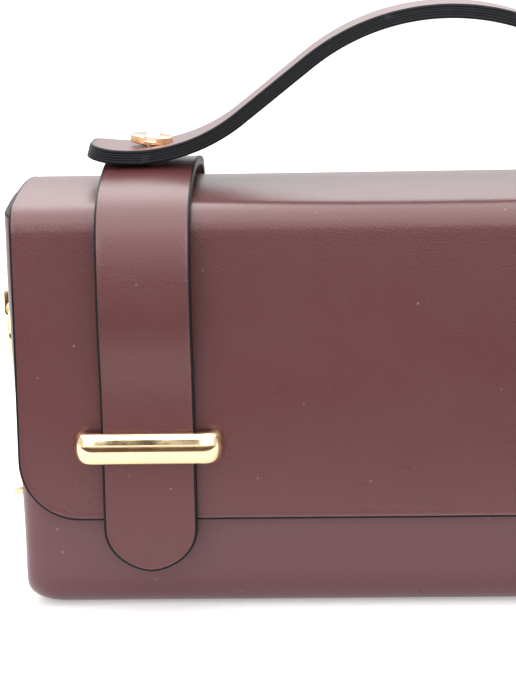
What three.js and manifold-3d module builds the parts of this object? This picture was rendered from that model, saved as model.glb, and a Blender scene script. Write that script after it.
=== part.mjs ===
// A structured leather flap handbag, closed and standing upright.
// Millimetres, +Z up, front towards -Y, +X to the right of someone who looks at the front.
// The origin is the middle of the flat base.
import * as THREE from "three";
import { mergeVertices } from "three/addons/utils/BufferGeometryUtils.js";
import Module from "manifold-3d";

const wasm = await Module();
wasm.setup();

// Clearances
const GAP = 0.3; // between two pieces that touch on the real bag
const HOLE_CLEARANCE = 0.3; // between a pin or shank and its hole, on the radius
const OVERSHOOT = 5; // how far a cutting or trimming form runs past what it cuts
const OVERLAP = 1; // how far two forms that are joined run into each other

// Body: a moulded leather box, open on top
const BODY_WIDTH = 270; // at the base
const BODY_FLARE = 2.5; // how much further out each side stands at the rim
const BODY_DEPTH = 74.2;
const BODY_WALL = 2.4;
const UPRIGHT_EDGE_RADIUS = 8;
const BASE_FRONT_RADIUS = 12; // edge between base and front or back
const BASE_SIDE_RADIUS = 7.5; // edge between base and sides
// Rows from the base up: height as a share of the rim height, offset of the side as a share of the flare.
const BODY_SIDE_TABLE = [
  { height: 0, flare: 0 },
  { height: 0.2, flare: 0.04 },
  { height: 0.45, flare: 0.45 },
  { height: 0.63, flare: 0.76 },
  { height: 0.8, flare: 1 },
  { height: 1, flare: 1 },
];

// Flap: one sheet over the top, with a long front leg and a short back leg
const FLAP_TOP = 131.6; // at the middle of its crown
const FLAP_CROWN_RADIUS = 185; // of the top, which is crowned from front to back
const FLAP_THICKNESS = 2.6;
const FLAP_EDGE_RADIUS = 7.5; // outer rounding between top and front or back
const FLAP_FRONT_END = 30; // height of the front leg's lower edge
const FLAP_BACK_END = 78; // height of the back leg's lower edge
const FLAP_FRONT_CORNER = 19;
const FLAP_BACK_CORNER = 12;

// Straps
const STRAP_INSET = 40.9; // from the flap's side edge to the middle of strap, stud and keeper
const STRAP_WIDTH = 29;
const STRAP_THICKNESS = 2.8;
const STRAP_LIFT = 1.3; // how far the strap stands off the flap on top
const STRAP_BACK_EDGE_RADIUS = 12; // outer rounding between top and back
const STRAP_BEND_START = 20; // from the middle of the top forwards to the start of the front bend
const STRAP_BEND_PULL = 21.5; // length of the bend's handle on top
const STRAP_BOW = 3.7; // how far the front bows out over the flap's edge, beyond its lower part
const STRAP_BOW_DROP = 27.6; // from the flap's top down to the furthest place of the bow
const STRAP_BOW_PULL = 24.8; // length of the bend's handle at that place
const STRAP_LAY_DROP = 67.6; // from the flap's top down to where the strap lies on the flap
const STRAP_LAY_PULL = 14; // length of the handles between the bow and that place
const STRAP_BACK_INSET = 14; // from the flap's back edge up to the strap's end
const TAB_OVERHANG = 15.8; // from the flap's front edge down to the tab's tip
const TAB_ROUND_HEIGHT = 13.7; // height over which the tab narrows to its tip
const TAB_SIDE_FULLNESS = 0.6; // share of the round height that its curve holds to the side
const TAB_TIP_FULLNESS = 0.45; // share of half the width that its curve holds to the tip
const TAB_POINT = 0.03; // rise of the curve beside the tip, as a share of the round height

// Handle: a laminated strip on a crown arc, two straight flanks and two foot arcs
const HANDLE_WIDTH = 30;
const HANDLE_THICKNESS = 4.4;
const HANDLE_RISE = 43.8; // from the lowest point of the feet to the top of the arch
const HANDLE_CROWN_RADIUS = 70.7;
const HANDLE_FOOT_RADIUS = 55;
const HANDLE_FOOT_OFFSET = 5.2; // from the stud outwards to the lowest point of the foot
const HANDLE_FOOT_LIFT = 2.3; // between strap and the lowest point of the foot
const HANDLE_HEEL = 19.5; // from the stud outwards to the handle's end
const HANDLE_END_CORNER = 10;

// Keeper: a staple bar over each strap
const KEEPER_HEIGHT = 9.9;
const KEEPER_THICKNESS = 3.8;
const KEEPER_EDGE_THICKNESS = 1.5; // of its section at the top and bottom edges
const KEEPER_BEND_RADIUS = 4.2; // on the middle of the bar
const KEEPER_ABOVE_EDGE = 24.2; // from the flap's front edge up to the middle of the bar
const KEEPER_SIDE_CLEARANCE = 4.9; // between strap and leg
const KEEPER_STRAP_CLEARANCE = 0.5; // between strap and bar
const KEEPER_PIN_RADIUS = 1.25;
const KEEPER_PIN_LENGTH = 1.9;

// Handle stud: head, shank, two collars and a nut, turned as one
const STUD_HEAD_RADIUS = 6.7;
const STUD_HEAD_HEIGHT = 2.7;
const STUD_HEAD_CHAMFER = 0.5;
const STUD_SHANK_RADIUS = 2.5;
const STUD_COLLAR_RADIUS = 3.6;
const STUD_NUT_RADIUS = 5.5;
const STUD_NUT_HEIGHT = 1.6;
const STUD_SLOT_WIDTH = 4;
const STUD_SLOT_DEPTH = 1.6;

// Ring and lug on each side
const RING_RADIUS = 7.9; // on the middle of the wire
const RING_WIRE_RADIUS = 1.2;
const RING_HOLE_CLEARANCE = 0.25;
const RING_HOLE_RISE = 2.7; // from the lug's lower face up to the middle of its hole
const LUG_BELOW_RIM = 31.7; // from the rim down to the lug's upper face
const LUG_LENGTH = 5; // from front to back
const LUG_HEIGHT = 9;
const LUG_THICKNESS = 5.4; // out from the side
const LUG_CORNER = 1.4;
const LUG_PIN_RADIUS = 1.5;
const LUG_PIN_DROP = 2.3; // from the lug's upper face down to the middle of its pin
const LUG_WASHER_RADIUS = 4;
const WASHER_THICKNESS = 1.2; // of the washers inside the sides

// Small studs low on the sides
const SIDE_STUD_HEIGHT = 36.7; // above the base
const SIDE_STUD_INSET = 12.5; // back from the front face, and forward from the back face
const SIDE_STUD_RADIUS = 2.2;
const SIDE_STUD_PROUD = 3.3;
const SIDE_STUD_CHAMFER = 0.4;
const SIDE_STUD_SHANK_RADIUS = 1;
const SIDE_STUD_WASHER_RADIUS = 2.6;

// Fineness of the meshes
const ARC_SEGMENTS = 6; // three.js cuts each arc of a shape into twice as many
const BASE_EDGE_STEPS = 6;
const CORNER_STEPS = 6;
const BEND_STEPS = 5;
const SECTION_STEPS = 8;
const ROUND_SEGMENTS = 24;
const PIN_SEGMENTS = 12;

// Sizes that follow from the ones above
const flapHalfDepth = BODY_DEPTH / 2 + GAP + FLAP_THICKNESS;
const rimHeight = FLAP_TOP - FLAP_THICKNESS - GAP; // at the middle of its crown
const flapWidth = BODY_WIDTH;
const strapCentre = flapWidth / 2 - STRAP_INSET;
const strapHalfDepth = flapHalfDepth + GAP + STRAP_THICKNESS;
const strapTop = FLAP_TOP + STRAP_LIFT + STRAP_THICKNESS;
const strapFrontEnd = FLAP_FRONT_END - TAB_OVERHANG;
const strapBackEnd = FLAP_BACK_END + STRAP_BACK_INSET;
const handleFootHeight = strapTop + HANDLE_FOOT_LIFT + HANDLE_THICKNESS / 2;
const handleCrownHeight = handleFootHeight + HANDLE_RISE;
const handleHalfLength = strapCentre + HANDLE_HEEL;
const keeperMiddle = FLAP_FRONT_END + KEEPER_ABOVE_EDGE;
const keeperLegOffset = STRAP_WIDTH / 2 + KEEPER_SIDE_CLEARANCE + KEEPER_THICKNESS / 2;
const lugTop = rimHeight - LUG_BELOW_RIM;
const lugBottom = lugTop - LUG_HEIGHT;
const lugPinHeight = lugTop - LUG_PIN_DROP;
const ringPivotHeight = lugBottom + RING_HOLE_RISE;
const sideStudPlace = BODY_DEPTH / 2 - SIDE_STUD_INSET; // from the middle of the bag's depth

const leather = { roughness: 0.45, metalness: 0 };
const burgundy = 0x74504f;
const gold = { color: 0xe0b878, roughness: 0.15, metalness: 1 };

// A closed geometry as a solid that can be joined and cut.
function solidOf(geometry) {
  const bare = geometry.clone();
  bare.deleteAttribute("normal");
  bare.deleteAttribute("uv");
  const merged = mergeVertices(bare);
  return new wasm.Manifold(
    new wasm.Mesh({
      numProp: 3,
      vertProperties: merged.attributes.position.array,
      triVerts: new Uint32Array(merged.index.array),
    }),
  );
}

function geometryOf(solid) {
  const mesh = solid.getMesh();
  const geometry = new THREE.BufferGeometry();
  geometry.setAttribute("position", new THREE.BufferAttribute(mesh.vertProperties, 3));
  geometry.setIndex(new THREE.BufferAttribute(mesh.triVerts, 1));
  geometry.computeVertexNormals();
  return geometry;
}

function piece(name, geometry, look) {
  const mesh = new THREE.Mesh(geometry, new THREE.MeshStandardMaterial(look));
  mesh.name = name;
  return mesh;
}

// A shape of width and height extruded between two places on the axis that it doesn't lie in.
function prism(shape, from, to, axes) {
  const options = { depth: to - from, bevelEnabled: false, curveSegments: ARC_SEGMENTS };
  const geometry = new THREE.ExtrudeGeometry(shape, options);
  geometry.translate(0, 0, from);
  return solidOf(geometry.applyMatrix4(axes));
}

const X = new THREE.Vector3(1, 0, 0);
const Y = new THREE.Vector3(0, 1, 0);
const Z = new THREE.Vector3(0, 0, 1);
const sideways = new THREE.Matrix4().makeBasis(Y, Z, X);
const backwards = new THREE.Matrix4().makeBasis(X, Z, Y.clone().negate());
const upwards = new THREE.Matrix4();

// A profile in Y and Z, extruded along X.
function prismAlongX(shape, from, to) {
  return prism(shape, from, to, sideways);
}

// An outline in X and Z, extruded along Y.
function prismAlongY(shape, from, to) {
  return prism(shape, -to, -from, backwards);
}

// A plan in X and Y, extruded along Z.
function prismAlongZ(shape, from, to) {
  return prism(shape, from, to, upwards);
}

// A cylinder along X between two places, at the given Y and Z.
function rodAlongX(radius, from, to, y, z) {
  const rod = new THREE.CylinderGeometry(radius, radius, Math.abs(to - from), PIN_SEGMENTS);
  rod.rotateZ(Math.PI / 2);
  return solidOf(rod.translate((from + to) / 2, y, z));
}

// A cylinder along Y between two places, at the given X and Z.
function rodAlongY(radius, from, to, x, z) {
  const rod = new THREE.CylinderGeometry(radius, radius, Math.abs(to - from), PIN_SEGMENTS);
  return solidOf(rod.translate(x, (from + to) / 2, z));
}

// A cylinder along Z between two heights, at the given X.
function rodAlongZ(radius, from, to, x) {
  const rod = new THREE.CylinderGeometry(radius, radius, Math.abs(to - from), PIN_SEGMENTS);
  rod.rotateX(Math.PI / 2);
  return solidOf(rod.translate(x, 0, (from + to) / 2));
}

// A closed skin over rings of as many points each, with flat ends.
function loft(rings) {
  const count = rings[0].length;
  const positions = rings.flat().flatMap((point) => point.toArray());
  const index = [];
  for (let ring = 0; ring + 1 < rings.length; ring += 1) {
    for (let i = 0; i < count; i += 1) {
      const a = ring * count + i;
      const b = ring * count + ((i + 1) % count);
      index.push(a, b, b + count, a, b + count, a + count);
    }
  }
  const last = (rings.length - 1) * count;
  for (let i = 1; i + 1 < count; i += 1) {
    index.push(0, i + 1, i);
    index.push(last, last + i, last + i + 1);
  }
  const geometry = new THREE.BufferGeometry();
  geometry.setAttribute("position", new THREE.Float32BufferAttribute(positions, 3));
  geometry.setIndex(index);
  return solidOf(geometry);
}

// The points of a rounded rectangle around the Z axis, counterclockwise.
function roundedRing(halfWidth, halfDepth, radius, z) {
  const points = [];
  for (const [sideX, sideY, start] of [[1, 1, 0], [-1, 1, 1], [-1, -1, 2], [1, -1, 3]]) {
    for (let step = 0; step <= CORNER_STEPS; step += 1) {
      const angle = ((start + step / CORNER_STEPS) * Math.PI) / 2;
      const x = sideX * (halfWidth - radius) + radius * Math.cos(angle);
      const y = sideY * (halfDepth - radius) + radius * Math.sin(angle);
      points.push(new THREE.Vector3(x, y, z));
    }
  }
  return points;
}

// How far a rounded edge of this radius lies in from the wall at a height above the base.
function edgeInset(radius, height) {
  const rise = Math.max(radius - height, 0);
  return radius - Math.sqrt(radius * radius - rise * rise);
}

// How far the body's side stands out at a height, from the table above.
function sideHalfWidth(height) {
  const share = Math.min(Math.max(height / rimHeight, 0), 1);
  const upper = BODY_SIDE_TABLE.findIndex((row) => row.height >= share && row.height > 0);
  const [a, b] = [BODY_SIDE_TABLE[upper - 1], BODY_SIDE_TABLE[upper]];
  const along = (share - a.height) / (b.height - a.height);
  return BODY_WIDTH / 2 + BODY_FLARE * (a.flare + (b.flare - a.flare) * along);
}

// The body's outer form, or the form of its hollow when it is drawn in by the wall.
function bodyForm(inset, top) {
  const frontRadius = BASE_FRONT_RADIUS - inset;
  const sideRadius = BASE_SIDE_RADIUS - inset;
  const heights = [];
  for (let step = 0; step <= BASE_EDGE_STEPS; step += 1) {
    const angle = ((step / BASE_EDGE_STEPS) * Math.PI) / 2;
    heights.push(inset + frontRadius * (1 - Math.cos(angle)));
  }
  for (const row of BODY_SIDE_TABLE) {
    if (row.height * rimHeight > BASE_FRONT_RADIUS) heights.push(row.height * rimHeight);
  }
  heights.push(top);
  const rings = heights.map((z) => {
    const halfWidth = sideHalfWidth(z) - inset - edgeInset(sideRadius, z - inset);
    const halfDepth = BODY_DEPTH / 2 - inset - edgeInset(frontRadius, z - inset);
    return roundedRing(halfWidth, halfDepth, UPRIGHT_EDGE_RADIUS - inset, z);
  });
  return loft(rings);
}

// The places of a crowned top's arcs in Y and Z: the bends at front and back, and the arc between them.
function topArcs(halfDepth, top, crown, bend) {
  const middle = halfDepth - bend;
  const lean = Math.asin(middle / (crown - bend));
  const crownHeight = top - crown;
  const bendHeight = crownHeight + (crown - bend) * Math.cos(lean);
  return { middle, bendHeight, crownHeight, back: Math.PI / 2 - lean, front: Math.PI / 2 + lean };
}

// The profile that trims the rim, so that the sides reach up under the flap and its roundings.
function rimProfile() {
  const half = BODY_DEPTH / 2;
  const crown = FLAP_CROWN_RADIUS - FLAP_THICKNESS - GAP;
  const bend = FLAP_EDGE_RADIUS - FLAP_THICKNESS - GAP;
  const { middle, bendHeight, crownHeight, back, front } = topArcs(half, rimHeight, crown, bend);
  const shape = new THREE.Shape();
  shape.moveTo(-half - OVERSHOOT, -OVERSHOOT);
  shape.lineTo(half + OVERSHOOT, -OVERSHOOT);
  shape.lineTo(half + OVERSHOOT, bendHeight);
  shape.absarc(middle, bendHeight, bend, 0, back);
  shape.absarc(0, crownHeight, crown, back, front);
  shape.absarc(-middle, bendHeight, bend, front, Math.PI);
  shape.lineTo(-half - OVERSHOOT, bendHeight);
  return shape;
}

function makeBody() {
  const reach = BODY_WIDTH / 2 + BODY_FLARE + OVERSHOOT;
  let body = bodyForm(0, rimHeight + OVERSHOOT);
  body = body.subtract(bodyForm(BODY_WALL, rimHeight + 2 * OVERSHOOT));
  body = body.intersect(prismAlongX(rimProfile(), -reach, reach));
  for (const side of [-1, 1]) {
    const wall = side * sideHalfWidth(lugPinHeight);
    const outside = wall + side * OVERSHOOT;
    const inside = wall - side * (BODY_WALL + OVERSHOOT);
    const pinHole = LUG_PIN_RADIUS + HOLE_CLEARANCE;
    body = body.subtract(rodAlongX(pinHole, inside, outside, 0, lugPinHeight));
    const studHole = SIDE_STUD_SHANK_RADIUS + HOLE_CLEARANCE;
    for (const end of [-1, 1]) {
      const y = end * sideStudPlace;
      body = body.subtract(rodAlongX(studHole, inside, outside, y, SIDE_STUD_HEIGHT));
    }
  }
  return piece("body_shell", geometryOf(body), { color: burgundy, ...leather });
}

// The thick profile in Y and Z of the flap, with both of its legs.
function flapProfile() {
  const [half, thickness] = [flapHalfDepth, FLAP_THICKNESS];
  const [crown, bend] = [FLAP_CROWN_RADIUS, FLAP_EDGE_RADIUS];
  const { middle, bendHeight, crownHeight, back, front } = topArcs(half, FLAP_TOP, crown, bend);
  const shape = new THREE.Shape();
  shape.moveTo(-half, FLAP_FRONT_END);
  shape.lineTo(thickness - half, FLAP_FRONT_END);
  shape.absarc(-middle, bendHeight, bend - thickness, Math.PI, front, true);
  shape.absarc(0, crownHeight, crown - thickness, front, back, true);
  shape.absarc(middle, bendHeight, bend - thickness, back, 0, true);
  shape.lineTo(half - thickness, FLAP_BACK_END);
  shape.lineTo(half, FLAP_BACK_END);
  shape.absarc(middle, bendHeight, bend, 0, back);
  shape.absarc(0, crownHeight, crown, back, front);
  shape.absarc(-middle, bendHeight, bend, front, Math.PI);
  return shape;
}

// A line of points moved to its left by the same distance all along it.
function offsetLine(points, distance) {
  const normals = points.slice(1).map((point, i) => {
    const along = point.clone().sub(points[i]).normalize();
    return new THREE.Vector2(-along.y, along.x);
  });
  return points.map((point, i) => {
    const before = normals[Math.max(i - 1, 0)];
    const after = normals[Math.min(i, normals.length - 1)];
    const both = before.clone().add(after);
    return point.clone().addScaledVector(both, distance / (1 + before.dot(after)));
  });
}

// The control points of a strap's front in Y and Z, from the top down: two curves and a straight end.
function strapFront(crown) {
  const along = Math.asin(STRAP_BEND_START / crown);
  const start = new THREE.Vector2(-STRAP_BEND_START, strapTop - crown + crown * Math.cos(along));
  const pull = new THREE.Vector2(-Math.cos(along), -Math.sin(along)).multiplyScalar(STRAP_BEND_PULL);
  const [bow, lay] = [-strapHalfDepth - STRAP_BOW, -strapHalfDepth];
  const [bowHeight, layHeight] = [FLAP_TOP - STRAP_BOW_DROP, FLAP_TOP - STRAP_LAY_DROP];
  return [
    start,
    start.clone().add(pull),
    new THREE.Vector2(bow, bowHeight + STRAP_BOW_PULL),
    new THREE.Vector2(bow, bowHeight),
    new THREE.Vector2(bow, bowHeight - STRAP_LAY_PULL),
    new THREE.Vector2(lay, layHeight + STRAP_LAY_PULL),
    new THREE.Vector2(lay, layHeight),
    new THREE.Vector2(lay, strapFrontEnd - OVERSHOOT),
  ];
}

// The thick profile in Y and Z of a strap: it bows out over the flap's front edge and lies down below it.
function strapProfile() {
  const [half, thickness, bend] = [strapHalfDepth, STRAP_THICKNESS, STRAP_BACK_EDGE_RADIUS];
  const crown = FLAP_CROWN_RADIUS + STRAP_LIFT + thickness;
  const { middle, bendHeight, crownHeight, back } = topArcs(half, strapTop, crown, bend);
  const front = Math.PI / 2 + Math.asin(STRAP_BEND_START / crown);
  const outer = strapFront(crown);
  const inner = offsetLine(outer, thickness);
  const shape = new THREE.Shape();
  shape.moveTo(...outer[7]);
  shape.lineTo(...inner[7]);
  shape.lineTo(...inner[6]);
  shape.bezierCurveTo(...inner[5], ...inner[4], ...inner[3]);
  shape.bezierCurveTo(...inner[2], ...inner[1], ...inner[0]);
  shape.absarc(0, crownHeight, crown - thickness, front, back, true);
  shape.absarc(middle, bendHeight, bend - thickness, back, 0, true);
  shape.lineTo(half - thickness, strapBackEnd - OVERSHOOT);
  shape.lineTo(half, strapBackEnd - OVERSHOOT);
  shape.absarc(middle, bendHeight, bend, 0, back);
  shape.absarc(0, crownHeight, crown, back, front);
  shape.bezierCurveTo(...outer[1], ...outer[2], ...outer[3]);
  shape.bezierCurveTo(...outer[4], ...outer[5], ...outer[6]);
  return shape;
}

// An outline in X and Z with two round lower corners, open to the top of the bag.
function roundedLeg(halfWidth, end, corner) {
  const top = strapTop + OVERSHOOT;
  const shape = new THREE.Shape();
  shape.moveTo(halfWidth, top);
  shape.lineTo(-halfWidth, top);
  shape.absarc(corner - halfWidth, end + corner, corner, Math.PI, 1.5 * Math.PI);
  shape.absarc(halfWidth - corner, end + corner, corner, 1.5 * Math.PI, 2 * Math.PI);
  return shape;
}

function makeFlap() {
  const halfWidth = flapWidth / 2;
  const reach = flapHalfDepth + OVERSHOOT;
  const front = prismAlongY(roundedLeg(halfWidth, FLAP_FRONT_END, FLAP_FRONT_CORNER), -reach, OVERLAP);
  const back = prismAlongY(roundedLeg(halfWidth, FLAP_BACK_END, FLAP_BACK_CORNER), -OVERLAP, reach);
  let flap = prismAlongX(flapProfile(), -halfWidth - OVERSHOOT, halfWidth + OVERSHOOT);
  flap = flap.intersect(front.add(back));
  const pinHole = KEEPER_PIN_RADIUS + HOLE_CLEARANCE;
  const pinHoleEnd = KEEPER_PIN_LENGTH - flapHalfDepth;
  for (const side of [-1, 1]) {
    flap = flap.subtract(studHole(side));
    for (const leg of [-1, 1]) {
      const x = side * strapCentre + leg * keeperLegOffset;
      flap = flap.subtract(rodAlongY(pinHole, -reach, pinHoleEnd, x, keeperMiddle));
    }
  }
  return piece("flap", geometryOf(flap), { color: burgundy, ...leather });
}

// The way of a handle stud's shank through handle, strap and flap.
function studHole(side) {
  const radius = STUD_SHANK_RADIUS + HOLE_CLEARANCE;
  const top = handleFootHeight + HANDLE_THICKNESS + OVERSHOOT;
  return rodAlongZ(radius, FLAP_TOP - FLAP_THICKNESS - OVERSHOOT, top, side * strapCentre);
}

// The front outline of a strap: straight sides and a rounded tab that comes to a slight point.
function tabOutline(centre) {
  const half = STRAP_WIDTH / 2;
  const shoulder = strapFrontEnd + TAB_ROUND_HEIGHT;
  const low = shoulder - TAB_SIDE_FULLNESS * TAB_ROUND_HEIGHT;
  const tipPull = TAB_TIP_FULLNESS * half;
  const tipRise = strapFrontEnd + TAB_POINT * TAB_ROUND_HEIGHT;
  const [left, right] = [centre - half, centre + half];
  const top = strapTop + OVERSHOOT;
  const shape = new THREE.Shape();
  shape.moveTo(right, top);
  shape.lineTo(left, top);
  shape.lineTo(left, shoulder);
  shape.bezierCurveTo(left, low, centre - tipPull, tipRise, centre, strapFrontEnd);
  shape.bezierCurveTo(centre + tipPull, tipRise, right, low, right, shoulder);
  return shape;
}

// The back outline of a strap: straight sides and a half-round end.
function backOutline(centre) {
  const half = STRAP_WIDTH / 2;
  const top = strapTop + OVERSHOOT;
  const shape = new THREE.Shape();
  shape.moveTo(centre + half, top);
  shape.lineTo(centre - half, top);
  shape.absarc(centre, strapBackEnd + half, half, Math.PI, 2 * Math.PI);
  return shape;
}

function makeStrap(name, side) {
  const centre = side * strapCentre;
  const reach = strapHalfDepth + STRAP_BOW + OVERSHOOT;
  const front = prismAlongY(tabOutline(centre), -reach, OVERLAP);
  const back = prismAlongY(backOutline(centre), -OVERLAP, reach);
  let strap = prismAlongX(strapProfile(), centre - STRAP_WIDTH, centre + STRAP_WIDTH);
  strap = strap.intersect(front.add(back)).subtract(studHole(side));
  return piece(name, geometryOf(strap), { color: burgundy, ...leather });
}

// The places where the handle's straight flank meets its crown arc and its foot arc.
function handleArcs() {
  const crown = new THREE.Vector2(0, handleCrownHeight - HANDLE_CROWN_RADIUS);
  const footX = -strapCentre - HANDLE_FOOT_OFFSET;
  const foot = new THREE.Vector2(footX, handleFootHeight + HANDLE_FOOT_RADIUS);
  const between = crown.clone().sub(foot);
  const lean = Math.acos(Math.min((HANDLE_CROWN_RADIUS + HANDLE_FOOT_RADIUS) / between.length(), 1));
  const angle = Math.atan2(between.y, between.x) - lean;
  return { crown, foot, angle };
}

function makeHandle() {
  const { crown, foot, angle } = handleArcs();
  const half = HANDLE_THICKNESS / 2;
  const heel = handleHalfLength + foot.x + HANDLE_THICKNESS;
  const end = -Math.PI / 2 - Math.asin(heel / HANDLE_FOOT_RADIUS);
  const shape = new THREE.Shape();
  shape.absarc(foot.x, foot.y, HANDLE_FOOT_RADIUS - half, end, angle);
  shape.absarc(0, crown.y, HANDLE_CROWN_RADIUS + half, angle + Math.PI, -angle, true);
  shape.absarc(-foot.x, foot.y, HANDLE_FOOT_RADIUS - half, Math.PI - angle, Math.PI - end);
  shape.absarc(-foot.x, foot.y, HANDLE_FOOT_RADIUS + half, Math.PI - end, Math.PI - angle, true);
  shape.absarc(0, crown.y, HANDLE_CROWN_RADIUS - half, -angle, angle + Math.PI);
  shape.absarc(foot.x, foot.y, HANDLE_FOOT_RADIUS + half, angle, end, true);
  const corner = HANDLE_END_CORNER;
  const [length, width] = [handleHalfLength, HANDLE_WIDTH / 2];
  const plan = new THREE.Shape();
  plan.absarc(length - corner, width - corner, corner, 0, 0.5 * Math.PI);
  plan.absarc(corner - length, width - corner, corner, 0.5 * Math.PI, Math.PI);
  plan.absarc(corner - length, corner - width, corner, Math.PI, 1.5 * Math.PI);
  plan.absarc(length - corner, corner - width, corner, 1.5 * Math.PI, 2 * Math.PI);
  let handle = prismAlongY(shape, -HANDLE_WIDTH, HANDLE_WIDTH);
  handle = handle.intersect(prismAlongZ(plan, FLAP_TOP, handleCrownHeight + HANDLE_THICKNESS));
  for (const side of [-1, 1]) handle = handle.subtract(studHole(side));
  return piece("handle", geometryOf(handle), { color: burgundy, ...leather });
}

// The highest point of the foot's upper face under the stud's head.
function footTopUnderStud() {
  const outer = HANDLE_FOOT_RADIUS - HANDLE_THICKNESS / 2;
  const along = HANDLE_FOOT_OFFSET + STUD_HEAD_RADIUS;
  return handleFootHeight + HANDLE_FOOT_RADIUS - Math.sqrt(outer * outer - along * along);
}

function makeHandleStud(name, side) {
  const seat = footTopUnderStud() + GAP;
  const headTop = seat + STUD_HEAD_HEIGHT;
  const footBottom = handleFootHeight - HANDLE_THICKNESS / 2;
  const strapBottom = strapTop - STRAP_THICKNESS;
  const flapBottom = FLAP_TOP - FLAP_THICKNESS;
  // Rows from the top down: a radius and the two heights between which it holds.
  const turned = [
    { radius: STUD_HEAD_RADIUS, top: headTop - STUD_HEAD_CHAMFER, bottom: seat },
    { radius: STUD_SHANK_RADIUS, top: seat, bottom: footBottom - GAP },
    { radius: STUD_COLLAR_RADIUS, top: footBottom - GAP, bottom: strapTop + GAP },
    { radius: STUD_SHANK_RADIUS, top: strapTop + GAP, bottom: strapBottom - GAP },
    { radius: STUD_COLLAR_RADIUS, top: strapBottom - GAP, bottom: FLAP_TOP + GAP },
    { radius: STUD_SHANK_RADIUS, top: FLAP_TOP + GAP, bottom: flapBottom - GAP },
    { radius: STUD_NUT_RADIUS, top: flapBottom - GAP, bottom: flapBottom - GAP - STUD_NUT_HEIGHT },
  ];
  const points = [new THREE.Vector2(0, turned[turned.length - 1].bottom)];
  for (const row of [...turned].reverse()) {
    points.push(new THREE.Vector2(row.radius, row.bottom), new THREE.Vector2(row.radius, row.top));
  }
  points.push(new THREE.Vector2(STUD_HEAD_RADIUS - STUD_HEAD_CHAMFER, headTop));
  points.push(new THREE.Vector2(0, headTop));
  const turning = new THREE.LatheGeometry(points, ROUND_SEGMENTS).rotateX(Math.PI / 2);
  const slot = new THREE.BoxGeometry(STUD_SLOT_WIDTH, 4 * STUD_HEAD_RADIUS, 2 * STUD_SLOT_DEPTH);
  const stud = solidOf(turning).subtract(solidOf(slot.translate(0, 0, headTop)));
  const mesh = piece(name, geometryOf(stud), gold);
  mesh.position.x = side * strapCentre;
  return mesh;
}

// The section of a keeper: flat towards the strap, crowned outwards. x points outwards and y up.
function keeperSection() {
  const crown = KEEPER_THICKNESS - KEEPER_EDGE_THICKNESS;
  const points = [];
  for (let step = 0; step <= SECTION_STEPS; step += 1) {
    const angle = (step / SECTION_STEPS - 0.5) * Math.PI;
    const out = KEEPER_EDGE_THICKNESS + crown * Math.cos(angle) - KEEPER_THICKNESS / 2;
    points.push(new THREE.Vector2(out, (Math.sin(angle) * KEEPER_HEIGHT) / 2));
  }
  points.push(new THREE.Vector2(-KEEPER_THICKNESS / 2, KEEPER_HEIGHT / 2));
  points.push(new THREE.Vector2(-KEEPER_THICKNESS / 2, -KEEPER_HEIGHT / 2));
  return points.reverse();
}

function makeKeeper(name, side) {
  const half = keeperLegOffset;
  const foot = -flapHalfDepth - GAP;
  const bar = -strapHalfDepth - KEEPER_STRAP_CLEARANCE - KEEPER_THICKNESS / 2;
  const stations = [{ x: -half, y: foot, turn: Math.PI }];
  for (const end of [-1, 1]) {
    for (let step = 0; step <= BEND_STEPS; step += 1) {
      const turn = Math.PI * (1.25 + 0.25 * end + 0.5 * (step / BEND_STEPS));
      const x = end * (half - KEEPER_BEND_RADIUS) + KEEPER_BEND_RADIUS * Math.cos(turn);
      stations.push({ x, y: bar + KEEPER_BEND_RADIUS * (1 + Math.sin(turn)), turn });
    }
  }
  stations.push({ x: half, y: foot, turn: 2 * Math.PI });
  const section = keeperSection();
  const rings = stations.map(({ x, y, turn }) =>
    section.map((point) => {
      const placeX = side * strapCentre + x + point.x * Math.cos(turn);
      return new THREE.Vector3(placeX, y + point.x * Math.sin(turn), keeperMiddle + point.y);
    }),
  );
  let keeper = loft(rings);
  for (const leg of [-half, half]) {
    const pinEnd = foot + KEEPER_PIN_LENGTH;
    const pin = [foot - KEEPER_EDGE_THICKNESS, pinEnd, side * strapCentre + leg];
    keeper = keeper.add(rodAlongY(KEEPER_PIN_RADIUS, ...pin, keeperMiddle));
  }
  return piece(name, geometryOf(keeper), gold);
}

// How far out from the middle of the bag the back of a lug sits.
function lugSeat() {
  return sideHalfWidth(lugTop) + GAP;
}

function ringPlace() {
  return lugSeat() + LUG_THICKNESS / 2;
}

function makeRing(name, side) {
  const ring = new THREE.TorusGeometry(RING_RADIUS, RING_WIRE_RADIUS, 8, ROUND_SEGMENTS);
  ring.rotateY(Math.PI / 2);
  const mesh = piece(name, geometryOf(solidOf(ring)), gold);
  mesh.position.set(side * ringPlace(), 0, ringPivotHeight - RING_RADIUS);
  return mesh;
}

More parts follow.
